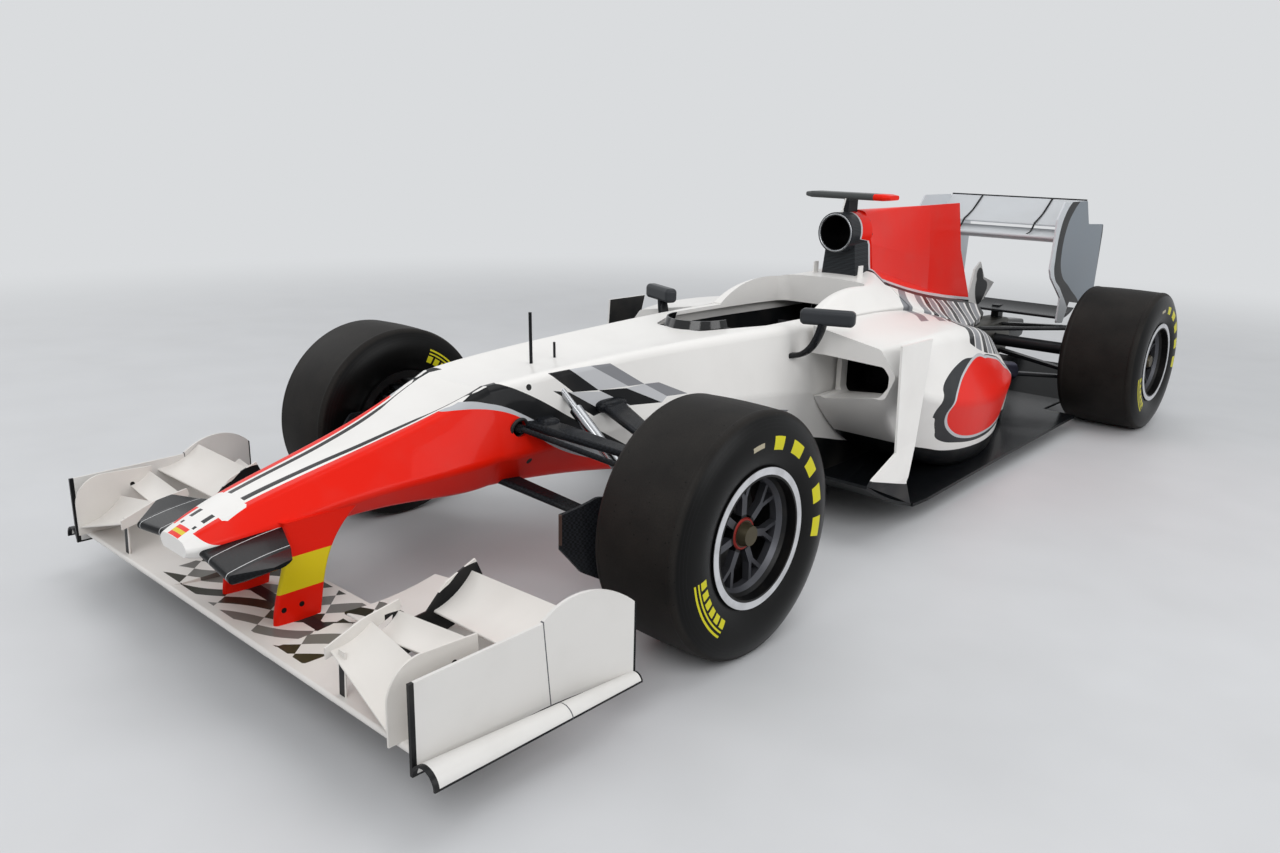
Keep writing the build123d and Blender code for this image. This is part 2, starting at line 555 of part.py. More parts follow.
# Twin pylons from the nose to the wing, wider where they meet the nose
PYLON_SECTIONS = [
    dict(z=128, front=NOSE_TIP + 163, rear=NOSE_TIP + 285, thickness=16),
    dict(z=250, front=NOSE_TIP + 185, rear=NOSE_TIP + 308, thickness=16),
    dict(z=345, front=NOSE_TIP + 206, rear=NOSE_TIP + 352, thickness=20),
    dict(z=400, front=NOSE_TIP + 196, rear=NOSE_TIP + 410, thickness=30),
]
pylon = loft([level(s["z"]) * Pos(PYLON_X, (s["front"] + s["rear"]) / 2) * Rot(0, 0, 90) * SlotOverall(
    s["rear"] - s["front"], s["thickness"]) for s in PYLON_SECTIONS])
save("nose_pylons", pair(pylon - nose - main_wing - pod))

# Engine: one plain block between the tub and the gearbox
ENGINE_HALF_WIDTH = 228
ENGINE_BASE_Z = FLOOR_TOP_Z + 6
engine_length = ENGINE_END_STATION - TUB_END_STATION
engine_height = COVER_BASE_Z - 65 - ENGINE_BASE_Z
engine = Pos(0, at(TUB_END_STATION + engine_length / 2), ENGINE_BASE_Z + engine_height / 2) * Box(
    2 * ENGINE_HALF_WIDTH, engine_length, engine_height)
save("engine", engine)

# Gearbox and the crash box behind it
GEARBOX_SECTIONS = [
    dict(station=ENGINE_END_STATION, top=440, mid=300, bottom=110, half_top=120, half_mid=140, half_bottom=130,
         dip=1, round_top=30, round_mid=30, round_bottom=30),
    dict(station=GEARBOX_END_STATION, top=420, mid=330, bottom=240, half_top=60, half_mid=72, half_bottom=60,
         dip=1, round_top=20, round_mid=20, round_bottom=20),
]
gearbox = hull_loft(GEARBOX_SECTIONS)
drive_hole = rod((-HALF_WIDTH, WHEELBASE, TYRE_RADIUS), (HALF_WIDTH, WHEELBASE, TYRE_RADIUS), DRIVE_BORE)
save("gearbox", gearbox - drive_hole)
CRASH_SECTIONS = [
    dict(GEARBOX_SECTIONS[-1], top=412, bottom=248, half_top=56, half_mid=66, half_bottom=56),
    dict(station=CRASH_BOX_END_STATION, top=378, mid=330, bottom=282, half_top=30, half_mid=40, half_bottom=30,
         dip=1, round_top=12, round_mid=12, round_bottom=12),
]
crash_box = hull_loft(CRASH_SECTIONS)
starter_bore = rod((0, CRASH_BOX_END_STATION - STARTER_BORE_DEPTH, TYRE_RADIUS),
                   (0, CRASH_BOX_END_STATION + 10, TYRE_RADIUS), STARTER_BORE_RADIUS)
save("rear_crash_box", crash_box - starter_bore)

# Sidepods: deep undercut in front, swept inlets, waisted towards the tail
SIDEPOD_SECTIONS = [
    dict(station=1130, top_in=664, top_out=616, belly=530, bottom=440, half_top=560, half_belly=628,
         half_bottom=590, rounding=26),
    dict(station=1330, top_in=664, top_out=626, belly=430, bottom=236, half_top=600, half_belly=672,
         half_bottom=560, rounding=40),
    dict(station=1640, top_in=662, top_out=622, belly=360, bottom=90, half_top=590, half_belly=686,
         half_bottom=600, rounding=60),
    dict(station=2200, top_in=568, top_out=540, belly=320, bottom=REFERENCE_PLANE_Z, half_top=470, half_belly=590,
         half_bottom=540, rounding=60),
    dict(station=SIDEPOD_END_STATION, top_in=440, top_out=410, belly=290, bottom=REFERENCE_PLANE_Z, half_top=330,
         half_belly=440, half_bottom=410, rounding=30),
]
INLET_FRONT = 1100
INLET_SWEEP = 230
INLET_DEPTH = 380
INLET_OUTER_X = 602
INLET_WALL = 25
pod_body = loft([pod_section(**section) for section in SIDEPOD_SECTIONS]) & box_above(FLOOR_TOP_Z)


def inlet_passage(inner_x):
    """Straight passage with the inlet's outline: tall beside the tub, low and rounded at its outer end."""
    outline = polygon([(inner_x, 392), (570, 446), (INLET_OUTER_X - 2, 486), (INLET_OUTER_X, 526), (578, 556),
                       (inner_x, 566)], 24)
    return extrude(across(INLET_FRONT + INLET_DEPTH) * outline, INLET_DEPTH)


inlet_sweep = extrude(level(0) * polygon([
    (SIDEPOD_INNER_X - 50, INLET_FRONT), (INLET_OUTER_X, INLET_FRONT), (INLET_OUTER_X, INLET_FRONT + 90),
    (SIDEPOD_INNER_X - 50, INLET_FRONT + INLET_SWEEP)]), INTAKE_Z)
inlet_mouth = inlet_passage(SIDEPOD_INNER_X - 40) & inlet_sweep
inlet_duct = inlet_passage(SIDEPOD_INNER_X + INLET_WALL)
sidepod = pod_body - inlet_mouth - inlet_duct
save("sidepod_left", sidepod)
save("sidepod_right", mirror(sidepod, about=Plane.YZ))

# Engine cover: low shell over the engine, an airbox behind the intake and a tall fin
COVER_END_STATION = WHEELBASE - 127
COVER_SECTIONS = [
    dict(station=ROLL_END_STATION, top=796, mid=662, bottom=COVER_BASE_Z, half_top=96, half_mid=283,
         half_bottom=270, dip=-8, round_top=44, round_mid=10, round_bottom=4),
    dict(station=2250, top=700, mid=560, bottom=COVER_BASE_Z, half_top=60, half_mid=283, half_bottom=276, dip=-6,
         round_top=34, round_mid=10, round_bottom=4),
    dict(station=SIDEPOD_END_STATION + 20, top=614, mid=486, bottom=COVER_BASE_Z - 45, half_top=44, half_mid=196,
         half_bottom=190, dip=-4, round_top=26, round_mid=6, round_bottom=4),
    dict(station=COVER_END_STATION, top=520, mid=480, bottom=COVER_BASE_Z - 60, half_top=24, half_mid=62,
         half_bottom=58, dip=-2, round_top=12, round_mid=6, round_bottom=4),
]
AIRBOX_SECTIONS = [
    dict(station=ROLL_END_STATION, top=1028, mid=900, bottom=660, half_top=44, half_mid=82, half_bottom=112, dip=-6,
         round_top=26, round_mid=30, round_bottom=6),
    dict(station=2080, top=1032, mid=860, bottom=620, half_top=20, half_mid=58, half_bottom=84, dip=-2,
         round_top=12, round_mid=30, round_bottom=6),
    dict(station=2500, top=1034, mid=800, bottom=560, half_top=6, half_mid=24, half_bottom=32, dip=-1,
         round_top=3, round_mid=30, round_bottom=6),
]
FIN_THICKNESS = 10
fin = plate([(2300, 640), (COVER_END_STATION - 100, 500), (COVER_END_STATION - 68, 554), (COVER_END_STATION - 183, 746),
             (COVER_END_STATION - 219, 807), (COVER_END_STATION - 285, 1037), (2300, 1033)], -FIN_THICKNESS / 2,
            FIN_THICKNESS)
tail_fin = plate([(COVER_END_STATION - 130, 480), (COVER_END_STATION - 20, 480), (COVER_END_STATION + 120, 540),
                  (COVER_END_STATION + 217, 613), (COVER_END_STATION + 90, 650), (COVER_END_STATION + 30, 733),
                  (COVER_END_STATION - 30, 700), (COVER_END_STATION - 60, 620)], -FIN_THICKNESS / 2,
                 FIN_THICKNESS)
cover = hull_loft(COVER_SECTIONS) + hull_loft(AIRBOX_SECTIONS) + fin + tail_fin
save("engine_cover", cover - roll_body - collar - tub_outer - pair(pod_body))

# Turning boards beside the sidepods, leaning outwards, each with a toe pointing forwards at its foot
BOARD_LEAN = [dict(z=652, x=672), dict(z=300, x=688), dict(z=190, x=700), dict(z=FLOOR_TOP_Z, x=692)]
BOARD_OUTLINE = [(1065, 652), (1279, 652), (1192, 300), (1130, 172), (1190, FLOOR_TOP_Z), (1080, 124), (870, 214),
                 (898, 232), (1056, 288)]
board_slab = loft([level(s["z"]) * Pos(s["x"], 1075) * Rectangle(ENDPLATE_THICKNESS, 420) for s in BOARD_LEAN],
                  ruled=True)
board = board_slab & plate(BOARD_OUTLINE, 600, 200)
save("turning_boards", pair(board))

# Floor with its front edges curling up to the toes of the boards, and the plank under it
LIP_START = 1210
FLOOR_OUTLINE = [(180, 560), (300, 860), (300, LIP_START - 10), (FLOOR_HALF_WIDTH, LIP_START - 10),
                 (FLOOR_HALF_WIDTH + 6, 1300), (674, 1992), (640, WHEELBASE - 290),
                 (DIFFUSER_HALF_WIDTH, WHEELBASE - 270), (DIFFUSER_HALF_WIDTH, DIFFUSER_START_STATION)]
floor_face = polygon(FLOOR_OUTLINE + [(-x, station) for x, station in reversed(FLOOR_OUTLINE)])
lip = make_face([
    ThreePointArc((LIP_START, FLOOR_TOP_Z), (1050, 126), (872, 214)),
    Line((872, 214), (866, 206)),
    ThreePointArc((866, 206), (1044, 116), (LIP_START - 6, REFERENCE_PLANE_Z)),
    Line((LIP_START - 6, REFERENCE_PLANE_Z), (LIP_START, FLOOR_TOP_Z)),
])
lips = extrude(along(300) * lip, FLOOR_HALF_WIDTH - 304)
plank_face = Pos(0, WHEELBASE - 1332) * RectangleRounded(300, 2600, 60)
plank = extrude(level(REFERENCE_PLANE_Z - PLANK_THICKNESS) * plank_face, PLANK_THICKNESS)
floor = extrude(level(REFERENCE_PLANE_Z) * floor_face, FLOOR_THICKNESS) + plank + pair(lips)
save("floor", floor - board - mirror(board, about=Plane.YZ))

# Diffuser: rising ramp with its side walls and strakes
DIFFUSER_END_STATION = REAR_END - 195
ramp = [(DIFFUSER_START_STATION, REFERENCE_PLANE_Z), (DIFFUSER_END_STATION, REFERENCE_PLANE_Z + DIFFUSER_RISE),
        (DIFFUSER_END_STATION, FLOOR_TOP_Z + DIFFUSER_RISE), (DIFFUSER_START_STATION, FLOOR_TOP_Z)]
diffuser = plate(ramp, -DIFFUSER_HALF_WIDTH, 2 * DIFFUSER_HALF_WIDTH)
strake = [(DIFFUSER_START_STATION, REFERENCE_PLANE_Z), (DIFFUSER_END_STATION, REFERENCE_PLANE_Z),
          (DIFFUSER_END_STATION, REFERENCE_PLANE_Z + DIFFUSER_RISE + 6), (DIFFUSER_START_STATION, FLOOR_TOP_Z - 4)]
STRAKE_XS = (-DIFFUSER_HALF_WIDTH, -160, 152, DIFFUSER_HALF_WIDTH - ENDPLATE_THICKNESS)
save("diffuser", diffuser + [plate(strake, x, ENDPLATE_THICKNESS) for x in STRAKE_XS])

# Exhausts beside the engine
exhaust_root = (230, ENGINE_END_STATION, 300)
exhaust_tip = (330, ENGINE_END_STATION + 300, 250)
exhaust = rod(exhaust_root, exhaust_tip, 45) - rod(exhaust_root, (343, ENGINE_END_STATION + 340, 243), 40)
save("exhausts", pair(exhaust - engine - sidepod))

# Rear wing
rear_inner = REAR_WING_HALF_WIDTH - ENDPLATE_THICKNESS
rear_main = straight_blade(blade((REAR_WING_LE_STATION, 880), (REAR_WING_LE_STATION + 230, 905), 24, 26),
                           -rear_inner, rear_inner)
rear_flap = straight_blade(blade((REAR_WING_LE_STATION + 190, 925), (REAR_WING_LE_STATION + 386, 1049), 16, 14),
                           -rear_inner, rear_inner)
save("rear_wing_planes", rear_main, rear_flap)
rear_le = REAR_WING_LE_STATION
REAR_PLATE_OUTLINE = [
    (rear_le + 70, 1050), (rear_le + 371, 1050), (rear_le + 431, 932), (REAR_END - 5, 923), (REAR_END, 873), (REAR_END - 20, 562),
    (rear_le + 527, 573), (rear_le + 415, 525), (rear_le + 296, 542), (rear_le + 236, 439), (rear_le + 152, 448), (rear_le + 162, 575),
    (rear_le + 5, 688), (rear_le - 21, 729), (rear_le - 7, 873), (rear_le - 2, 969)]
rear_plate = plate(REAR_PLATE_OUTLINE, rear_inner, ENDPLATE_THICKNESS, 14)
save("rear_wing_endplates", pair(rear_plate))
beam = straight_blade(blade((rear_le + 170, 470), (rear_le + 400, 500), 18, 14), -rear_inner, rear_inner)
beam_foot = Pos(0, at(rear_le + 300), 440) * Box(40, 60, 90)
save("beam_wing", (beam + beam_foot) - gearbox - crash_box - rear_plate)

# Mirrors on curved stalks
MIRROR_X = 385
MIRROR_STATION = 1060
MIRROR_Z = 712
MIRROR_TOE = 22
mirror_case = Pos(MIRROR_X, at(MIRROR_STATION), MIRROR_Z) * Rot(0, 0, MIRROR_TOE) * fillet(Box(192, 50, 56).edges(), 17)
stalk_path = [(262, 1026, 560), (332, 1034, 590), (368, 1052, MIRROR_Z - 20)]
stalk = leg(stalk_path[0], stalk_path[1], (46, 13), (40, 12)) + leg(stalk_path[1], stalk_path[2], (40, 12), (32, 12))
stalk_knee = Pos(place(stalk_path[1])) * Sphere(9)
save("mirrors", pair(mirror_case + stalk + stalk_knee - tub_outer))

# Air speed mast, sensor and the two small fins beside the intake
mast = rod((0, 30, 600), (0, 26, 790), 5)
sensor = rod((0, 126, 600), (0, 124, 688), 4)
small_fin = plate([(INTAKE_STATION + 15, 700), (INTAKE_STATION + 60, 700), (INTAKE_STATION + 55, 818),
                   (INTAKE_STATION + 25, 818)], 105, 5)
save("aerials", mast - tub_outer, sensor - tub_outer, pair(small_fin - collar_solid - roll_body))

# Front suspension
UPPER_BALL = (KINGPIN_X, 0, TYRE_RADIUS + BALL_RISE)
LOWER_BALL = (KINGPIN_X, 0, TYRE_RADIUS - BALL_RISE)


def wishbone(ball, front, rear, root_size, tip_size, pin_side):
    """Two legs that meet in a housing at the ball, with the pin that the upright turns on."""
    arm = leg(front, ball, root_size, tip_size) + leg(rear, ball, root_size, tip_size)
    housing = Pos(place(ball)) * Cylinder(18, 2 * PIVOT_HALF_HEIGHT)
    pin = Pos(place(ball) + Vector(0, 0, pin_side * 28)) * Cylinder(BALL_PIN_RADIUS, 40)
    return arm + housing + pin


upper_arm = wishbone(UPPER_BALL, (150, -130, 518), (150, 180, 532), (92, 26), (42, 14), -1)
lower_arm = wishbone(LOWER_BALL, (120, -205, 362), (150, 290, 310), (70, 20), (40, 14), 1)
save("front_wishbones", pair(upper_arm - tub_outer), pair(lower_arm - tub_outer))
PUSHROD_RADIUS = 11
PUSHROD_SLEEVE_RADIUS = 19
pushrod_foot = (610, 0, TYRE_RADIUS - BALL_RISE + 30)
pushrod_top = (170, -13, 596)
pushrod_mid = (234, -11, 544)
pushrod = rod(pushrod_mid, pushrod_top, PUSHROD_RADIUS) + rod(pushrod_foot, pushrod_mid, PUSHROD_SLEEVE_RADIUS)
save("front_pushrods", pair(pushrod - tub_outer - lower_arm))

# Front uprights turn on the wishbones' pins and carry the wheels on their spindles
upright_half_height = BALL_RISE - 27
SPINDLE_END = FRONT_WHEEL["outer"] - 62
upright = Pos(KINGPIN_X, at(0), TYRE_RADIUS) * Box(60, 70, 2 * upright_half_height)
spindle = rod((KINGPIN_X + 20, 0, TYRE_RADIUS), (SPINDLE_END, 0, TYRE_RADIUS), HUB_BORE_RADIUS - SHAFT_FIT)
pin_bore = Pos(KINGPIN_X, at(0), TYRE_RADIUS) * Cylinder(BALL_PIN_RADIUS + SHAFT_FIT, 400)
track_arm_z = TYRE_RADIUS + TRACK_ARM_RISE - TRACK_BALL_RADIUS - 25
track_arm = Pos(KINGPIN_X - 2, at(-TRACK_ARM_LENGTH / 2 - 8), track_arm_z) * Box(24, TRACK_ARM_LENGTH + 20, 20)
DUCT_WALL = 7
duct_plan = make_face([
    ThreePointArc((592, -120), (570, -235), (505, -330)),
    Line((505, -330), (505 - DUCT_WALL, -326)),
    ThreePointArc((505 - DUCT_WALL, -326), (570 - DUCT_WALL, -232), (592 - DUCT_WALL, -120)),
    Line((592 - DUCT_WALL, -120), (592, -120)),
])
duct_side = polygon([(-190, 165), (-110, 178), (-110, 400), (-250, 420), (-335, 372), (-338, 300), (-285, 218)], 25)
duct = extrude(level(100) * duct_plan, 400) & extrude(along(450) * duct_side, 200)
duct_arm = Pos(622, at(-128), 290) * Box(76, 24, 24)
duct_link = Pos(650, at(-78), 290) * Box(20, 110, 24)
knuckle = upright + spindle + track_arm + duct + duct_arm + duct_link - pin_bore
save("front_upright_left", knuckle)
save("front_upright_right", mirror(knuckle, about=Plane.YZ))

# Rear suspension and uprights
REAR_UPPER_BALL = (REAR_BALL_X, WHEELBASE, TYRE_RADIUS + REAR_BALL_RISE)
REAR_LOWER_BALL = (REAR_BALL_X, WHEELBASE, TYRE_RADIUS - REAR_BALL_RISE)
rear_upper = (leg((60, WHEELBASE - 240, 410), REAR_UPPER_BALL, (50, 18), (36, 14))
              + leg((50, WHEELBASE + 120, 395), REAR_UPPER_BALL, (50, 18), (36, 14)))
rear_lower = (leg((80, WHEELBASE - 330, 210), REAR_LOWER_BALL, (56, 20), (40, 16))
              + leg((50, WHEELBASE + 110, 260), REAR_LOWER_BALL, (56, 20), (40, 16)))
rear_bore = rod((REAR_BALL_X - 50, WHEELBASE, TYRE_RADIUS), (REAR_BALL_X + 100, WHEELBASE, TYRE_RADIUS),
                HUB_BORE_RADIUS + SHAFT_FIT)
rear_upright = Pos(REAR_BALL_X + 30, at(WHEELBASE), TYRE_RADIUS) * Box(60, 90, 2 * REAR_BALL_RISE + 40) - rear_bore
save("rear_wishbones", pair(rear_upper - gearbox - rear_upright), pair(rear_lower - gearbox - rear_upright))
save("rear_uprights", pair(rear_upright))

# Wheels: the rear pair are one with their driveshafts
DRIVESHAFT_INNER_X = 70
rear_hub_outer = REAR_WHEEL["outer"] - HUB_SETBACK
driveshaft = rod((DRIVESHAFT_INNER_X, WHEELBASE, TYRE_RADIUS), (rear_hub_outer, WHEELBASE, TYRE_RADIUS),
                 HUB_BORE_RADIUS)
front_rim = rim(FRONT_WHEEL["station"], FRONT_WHEEL["outer"], FRONT_WHEEL["inner"], KINGPIN_X + 40)
rear_rim = rim(REAR_WHEEL["station"], REAR_WHEEL["outer"], REAR_WHEEL["inner"], REAR_BALL_X + 66) + driveshaft
for end, wheel, rim_left in (("front", FRONT_WHEEL, front_rim), ("rear", REAR_WHEEL, rear_rim)):
    tyre_left = tyre(wheel["station"], wheel["outer"], wheel["inner"])
    save(f"{end}_wheel_left", rim_left)
    save(f"{end}_wheel_right", mirror(rim_left, about=Plane.YZ))
    save(f"{end}_tyre_left", tyre_left)
    save(f"{end}_tyre_right", mirror(tyre_left, about=Plane.YZ))
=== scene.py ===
from math import cos, pi, radians, sin
import bmesh
import bpy
import numpy as np
from mathutils import Matrix, Vector


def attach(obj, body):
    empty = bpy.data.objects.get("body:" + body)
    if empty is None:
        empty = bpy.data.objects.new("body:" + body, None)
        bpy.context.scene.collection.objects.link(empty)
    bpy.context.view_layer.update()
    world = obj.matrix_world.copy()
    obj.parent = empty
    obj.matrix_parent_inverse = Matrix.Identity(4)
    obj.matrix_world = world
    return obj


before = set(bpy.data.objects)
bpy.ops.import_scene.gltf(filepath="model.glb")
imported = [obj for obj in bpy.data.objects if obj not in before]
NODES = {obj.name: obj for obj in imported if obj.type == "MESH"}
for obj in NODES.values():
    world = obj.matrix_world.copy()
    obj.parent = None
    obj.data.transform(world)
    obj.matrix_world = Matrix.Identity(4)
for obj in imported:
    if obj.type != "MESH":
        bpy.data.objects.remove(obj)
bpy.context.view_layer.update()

# Looks of an open wheel racing car. X is the car's left, Y runs from nose to tail, Z is up, all in metres.
# A station is a distance behind the front axle, and a height is measured from the ground.
FRONT_AXLE_Y = -1.340
WHEELBASE = 3.212
TYRE_RADIUS = 0.330
AXLES = {"front": (0.0, 0.887, 0.612), "rear": (WHEELBASE, 0.884, 0.530)}
INTAKE_STATION = 1.695
INTAKE_Z = 0.946
THROAT_RADIUS = 0.0692
INTAKE_LIP_RADIUS = 0.0745
MIRROR_TOE = radians(22)
# Open ends of a mask: past every station and width, and below every height, width and radius
FAR = 9.0
LEAST = -1

PEARL_WHITE = "#E6E4E1"
SIGNAL_RED = "#E21C0A"
OUTLINE_GREY = "#B4B6BA"
MID_GREY = "#85868A"
PALE_GREY = "#BFC0C3"
LIVERY_BLACK = "#141517"
SATIN_BLACK = "#17181A"
STRIPE_BLACK = "#1F2022"
DUCT_BLACK_AND_SHADE = "#070708"
# Inside of the intake and the cooling ducts: black carbon, painted darker as the shade deep inside
HUB_BLACK = "#101011"
DUST = "#8E887F"
BAND_YELLOW = "#D8C11C"
BACKDROP = "#DADCDE"


def linear(code):
    """Linear colour of an sRGB hex value."""
    part = np.array([int(code[i:i + 2], 16) for i in (1, 3, 5)]) / 255
    part = np.where(part <= 0.04045, part / 12.92, ((part + 0.055) / 1.055) ** 2.4)
    return (*part.tolist(), 1.0)


def feed(tree, node, feeds):
    """Give a node's sockets, by name or number, a value or a link from the socket that feeds them."""
    for socket, value in dict(feeds).items():
        if isinstance(value, bpy.types.NodeSocket):
            tree.links.new(value, node.inputs[socket])
        else:
            node.inputs[socket].default_value = value


def add(tree, kind, feeds=(), **settings):
    """A node with its settings and its feeds."""
    node = tree.nodes.new(kind)
    for name, value in settings.items():
        setattr(node, name, value)
    feed(tree, node, feeds)
    return node


# Numbers of the values that a reading gives
SPOT, LEFT, OUT, STATION, HEIGHT = range(5)


def reading(tree):
    """Where a point lies: its vector, distance to the left, distance from the middle, station and height."""
    spot = add(tree, "ShaderNodeTexCoord").outputs["Object"]
    left, y, height = add(tree, "ShaderNodeSeparateXYZ", {0: spot}).outputs
    out = add(tree, "ShaderNodeMath", {0: left}, operation="ABSOLUTE").outputs[0]
    station = add(tree, "ShaderNodeMath", {0: y, 1: -FRONT_AXLE_Y}, operation="ADD").outputs[0]
    return spot, left, out, station, height


def where(tree, *parts):
    """Mask of the points that lie in every part. A part is a mask, or a reading with its lowest and highest value."""
    whole = None
    for part in parts:
        if isinstance(part, tuple):
            value, low, high = part
            part = add(tree, "ShaderNodeMath", {0: value, 1: (low + high) / 2, 2: (high - low) / 2},
                       operation="COMPARE").outputs[0]
        whole = part if whole is None else add(tree, "ShaderNodeMath", {0: whole, 1: part},
                                               operation="MULTIPLY").outputs[0]
    return whole


def outside(mask):
    """Part of a mask that holds the points which another mask leaves out."""
    return mask, -0.5, 0.5


def drawn(tree, run, line, sharp=False):
    """Value of a line through (run, value) points, smooth or with straight runs, level past both ends."""
    runs, values = zip(*line)
    low, span = min(values), max(values) - min(values)
    share = add(tree, "ShaderNodeMapRange", {0: run, 1: runs[0], 2: runs[-1]}).outputs[0]
    bend = add(tree, "ShaderNodeFloatCurve", {1: share})
    curve = bend.mapping.curves[0]
    spots = [((a - runs[0]) / (runs[-1] - runs[0]), (b - low) / span) for a, b in line]
    curve.points[0].location = spots[0]
    curve.points[1].location = spots[-1]
    for spot in spots[1:-1]:
        curve.points.new(*spot)
    if sharp:
        for point in curve.points:
            point.handle_type = "VECTOR"
    bend.mapping.update()
    return add(tree, "ShaderNodeMapRange", {0: bend.outputs[0], 3: low, 4: low + span}).outputs[0]


def beneath(tree, run, rise, line, sharp=False):
    """Mask of what lies below a line through (run, rise) points."""
    return add(tree, "ShaderNodeMath", {0: rise, 1: drawn(tree, run, line, sharp)}, operation="LESS_THAN").outputs[0]


def patch(tree, run, rise, corners):
    """Mask of a convex outline, its corners anticlockwise: every side's signed distance is above nought."""
    least = 1.0
    for (u0, v0), (u1, v1) in zip(corners, corners[1:] + corners[:1]):
        first = add(tree, "ShaderNodeMath", {0: run, 1: v0 - v1, 2: u0 * (v1 - v0) - v0 * (u1 - u0)},
                    operation="MULTIPLY_ADD").outputs[0]
        side = add(tree, "ShaderNodeMath", {0: rise, 1: u1 - u0, 2: first}, operation="MULTIPLY_ADD").outputs[0]
        least = add(tree, "ShaderNodeMath", {0: side, 1: least}, operation="MINIMUM").outputs[0]
    return add(tree, "ShaderNodeMath", {0: least, 1: 0.0}, operation="GREATER_THAN").outputs[0]


def grown(loop, by):
    """Closed outline moved outwards by a distance, square to its chords."""
    points = np.array(loop)
    chord = np.roll(points, -1, 0) - np.roll(points, 1, 0)
    normal = np.stack([chord[:, 1], -chord[:, 0]], 1)
    return (points + by * normal / np.linalg.norm(normal, axis=1, keepdims=True)).tolist()


def within(tree, run, rise, loop, stretch=1.0):
    """Mask of a rounded closed outline, anticlockwise: nearer its middle than the outline in the same direction.
    Rises are stretched first, so that a long low outline turns evenly."""
    points = np.array(loop) * (1.0, stretch)
    middle = (points.max(0) + points.min(0)) / 2
    arm = points - middle
    turn = np.arctan2(arm[:, 1], arm[:, 0]) / (2 * pi) + 0.5
    order = np.argsort(turn)
    turn, reach = turn[order], np.hypot(*arm.T)[order]
    ends = np.interp(1.0, [turn[-1], turn[0] + 1], [reach[-1], reach[0]])
    line = [(0.0, ends), *zip(turn.tolist(), reach.tolist()), (1.0, ends)]
    u = add(tree, "ShaderNodeMath", {0: run, 1: middle[0]}, operation="SUBTRACT").outputs[0]
    v = add(tree, "ShaderNodeMath", {0: rise, 1: stretch, 2: -middle[1]}, operation="MULTIPLY_ADD").outputs[0]
    angle = add(tree, "ShaderNodeMath", {0: v, 1: u}, operation="ARCTAN2").outputs[0]
    share = add(tree, "ShaderNodeMath", {0: angle, 1: 1 / (2 * pi), 2: 0.5}, operation="MULTIPLY_ADD").outputs[0]
    flat = add(tree, "ShaderNodeCombineXYZ", {0: u, 1: v}).outputs[0]
    away = add(tree, "ShaderNodeVectorMath", {0: flat}, operation="LENGTH").outputs["Value"]
    return beneath(tree, share, away, line)


def circle(middle, radius):
    """Round outline of twelve points."""
    turn = np.arange(12) * pi / 6
    return np.stack([middle[0] + radius * np.cos(turn), middle[1] + radius * np.sin(turn)], 1).tolist()


def layered(tree, ground, layers):
    """Paint laid in order over a ground colour, from (mask, colour) pairs."""
    colour = ground if isinstance(ground, bpy.types.NodeSocket) else linear(ground)
    for mask, hue in layers:
        hue = hue if isinstance(hue, bpy.types.NodeSocket) else linear(hue)
        colour = add(tree, "ShaderNodeMix", {0: mask, 6: colour, 7: hue}, data_type="RGBA").outputs[2]
    return colour


def finish(name, rough, build, depth=0.0002, grain=900, **constants):
    """A material: build(tree, place) gives its colour and, where the finish differs over the piece, a dict of
    linked sockets. Noise of a real grain varies the roughness and raises a fine bump."""
    material = bpy.data.materials.new(name)
    material.use_nodes = True
    tree = material.node_tree
    shader = tree.nodes["Principled BSDF"]
    place = reading(tree)
    colour, links = build(tree, place)
    noise = add(tree, "ShaderNodeTexNoise", {0: place[SPOT], 2: grain, 3: 3.0}).outputs[0]
    spread = add(tree, "ShaderNodeMapRange", {0: noise, 3: rough * 0.85, 4: rough * 1.15}).outputs[0]
    bump = add(tree, "ShaderNodeBump", {"Strength": 0.25, "Distance": depth, "Height": noise}).outputs[0]
    feed(tree, shader, {"Base Color": colour, "Roughness": spread, "Normal": bump, **links, **constants})
    return material


def soiled(tree, place, colour, dust=DUST, share=0.10, grain=7):
    """A colour with a thin film of dust in soft patches a hand wide."""
    noise = add(tree, "ShaderNodeTexNoise", {0: place[SPOT], 2: grain, 3: 4.0}).outputs[0]
    film = add(tree, "ShaderNodeMapRange", {0: noise, 1: 0.45, 2: 0.75, 3: 0.0, 4: share}).outputs[0]
    return layered(tree, colour, [(film, dust)])


def varied(tree, place, hue):
    """A hex colour that soft noise darkens by up to a tenth."""
    noise = add(tree, "ShaderNodeTexNoise", {0: place[SPOT], 2: 3.0}).outputs[0]
    tint = np.array(linear(hue))
    return add(tree, "ShaderNodeMix", {0: noise, 6: tuple((tint * (0.9, 0.9, 0.9, 1.0)).tolist()),
                                       7: tuple(tint.tolist())}, data_type="RGBA").outputs[2]


def plain(hue, share=0.08, grain=9):
    """One colour under a film of dust."""
    def build(tree, place):
        return soiled(tree, place, varied(tree, place, hue), share=share, grain=grain), {}
    return build


def turned_inwards(tree, place):
    """Mask of walls that face the middle of the car: distance to the left times the normal's left part is well below
    nought."""
    left_part = add(tree, "ShaderNodeSeparateXYZ", {0: add(tree, "ShaderNodeNewGeometry").outputs["Normal"]}).outputs[0]
    facing = add(tree, "ShaderNodeMath", {0: place[LEFT], 1: left_part}, operation="MULTIPLY").outputs[0]
    return where(tree, (facing, -1.0, -0.03))


# Two-pack paint: its clear coat is weak, so that the pale surround does not wash the colours out
CLEAR_COAT = {"Coat Weight": 0.08, "Coat Roughness": 0.05, "Specular IOR Level": 0.10}
# Black gelcoat and lacquered carbon take less of the pale surround, so that they stay black
BLACK_GLOSS = {"Coat Weight": 0.05, "Coat Roughness": 0.05, "Specular IOR Level": 0.08}

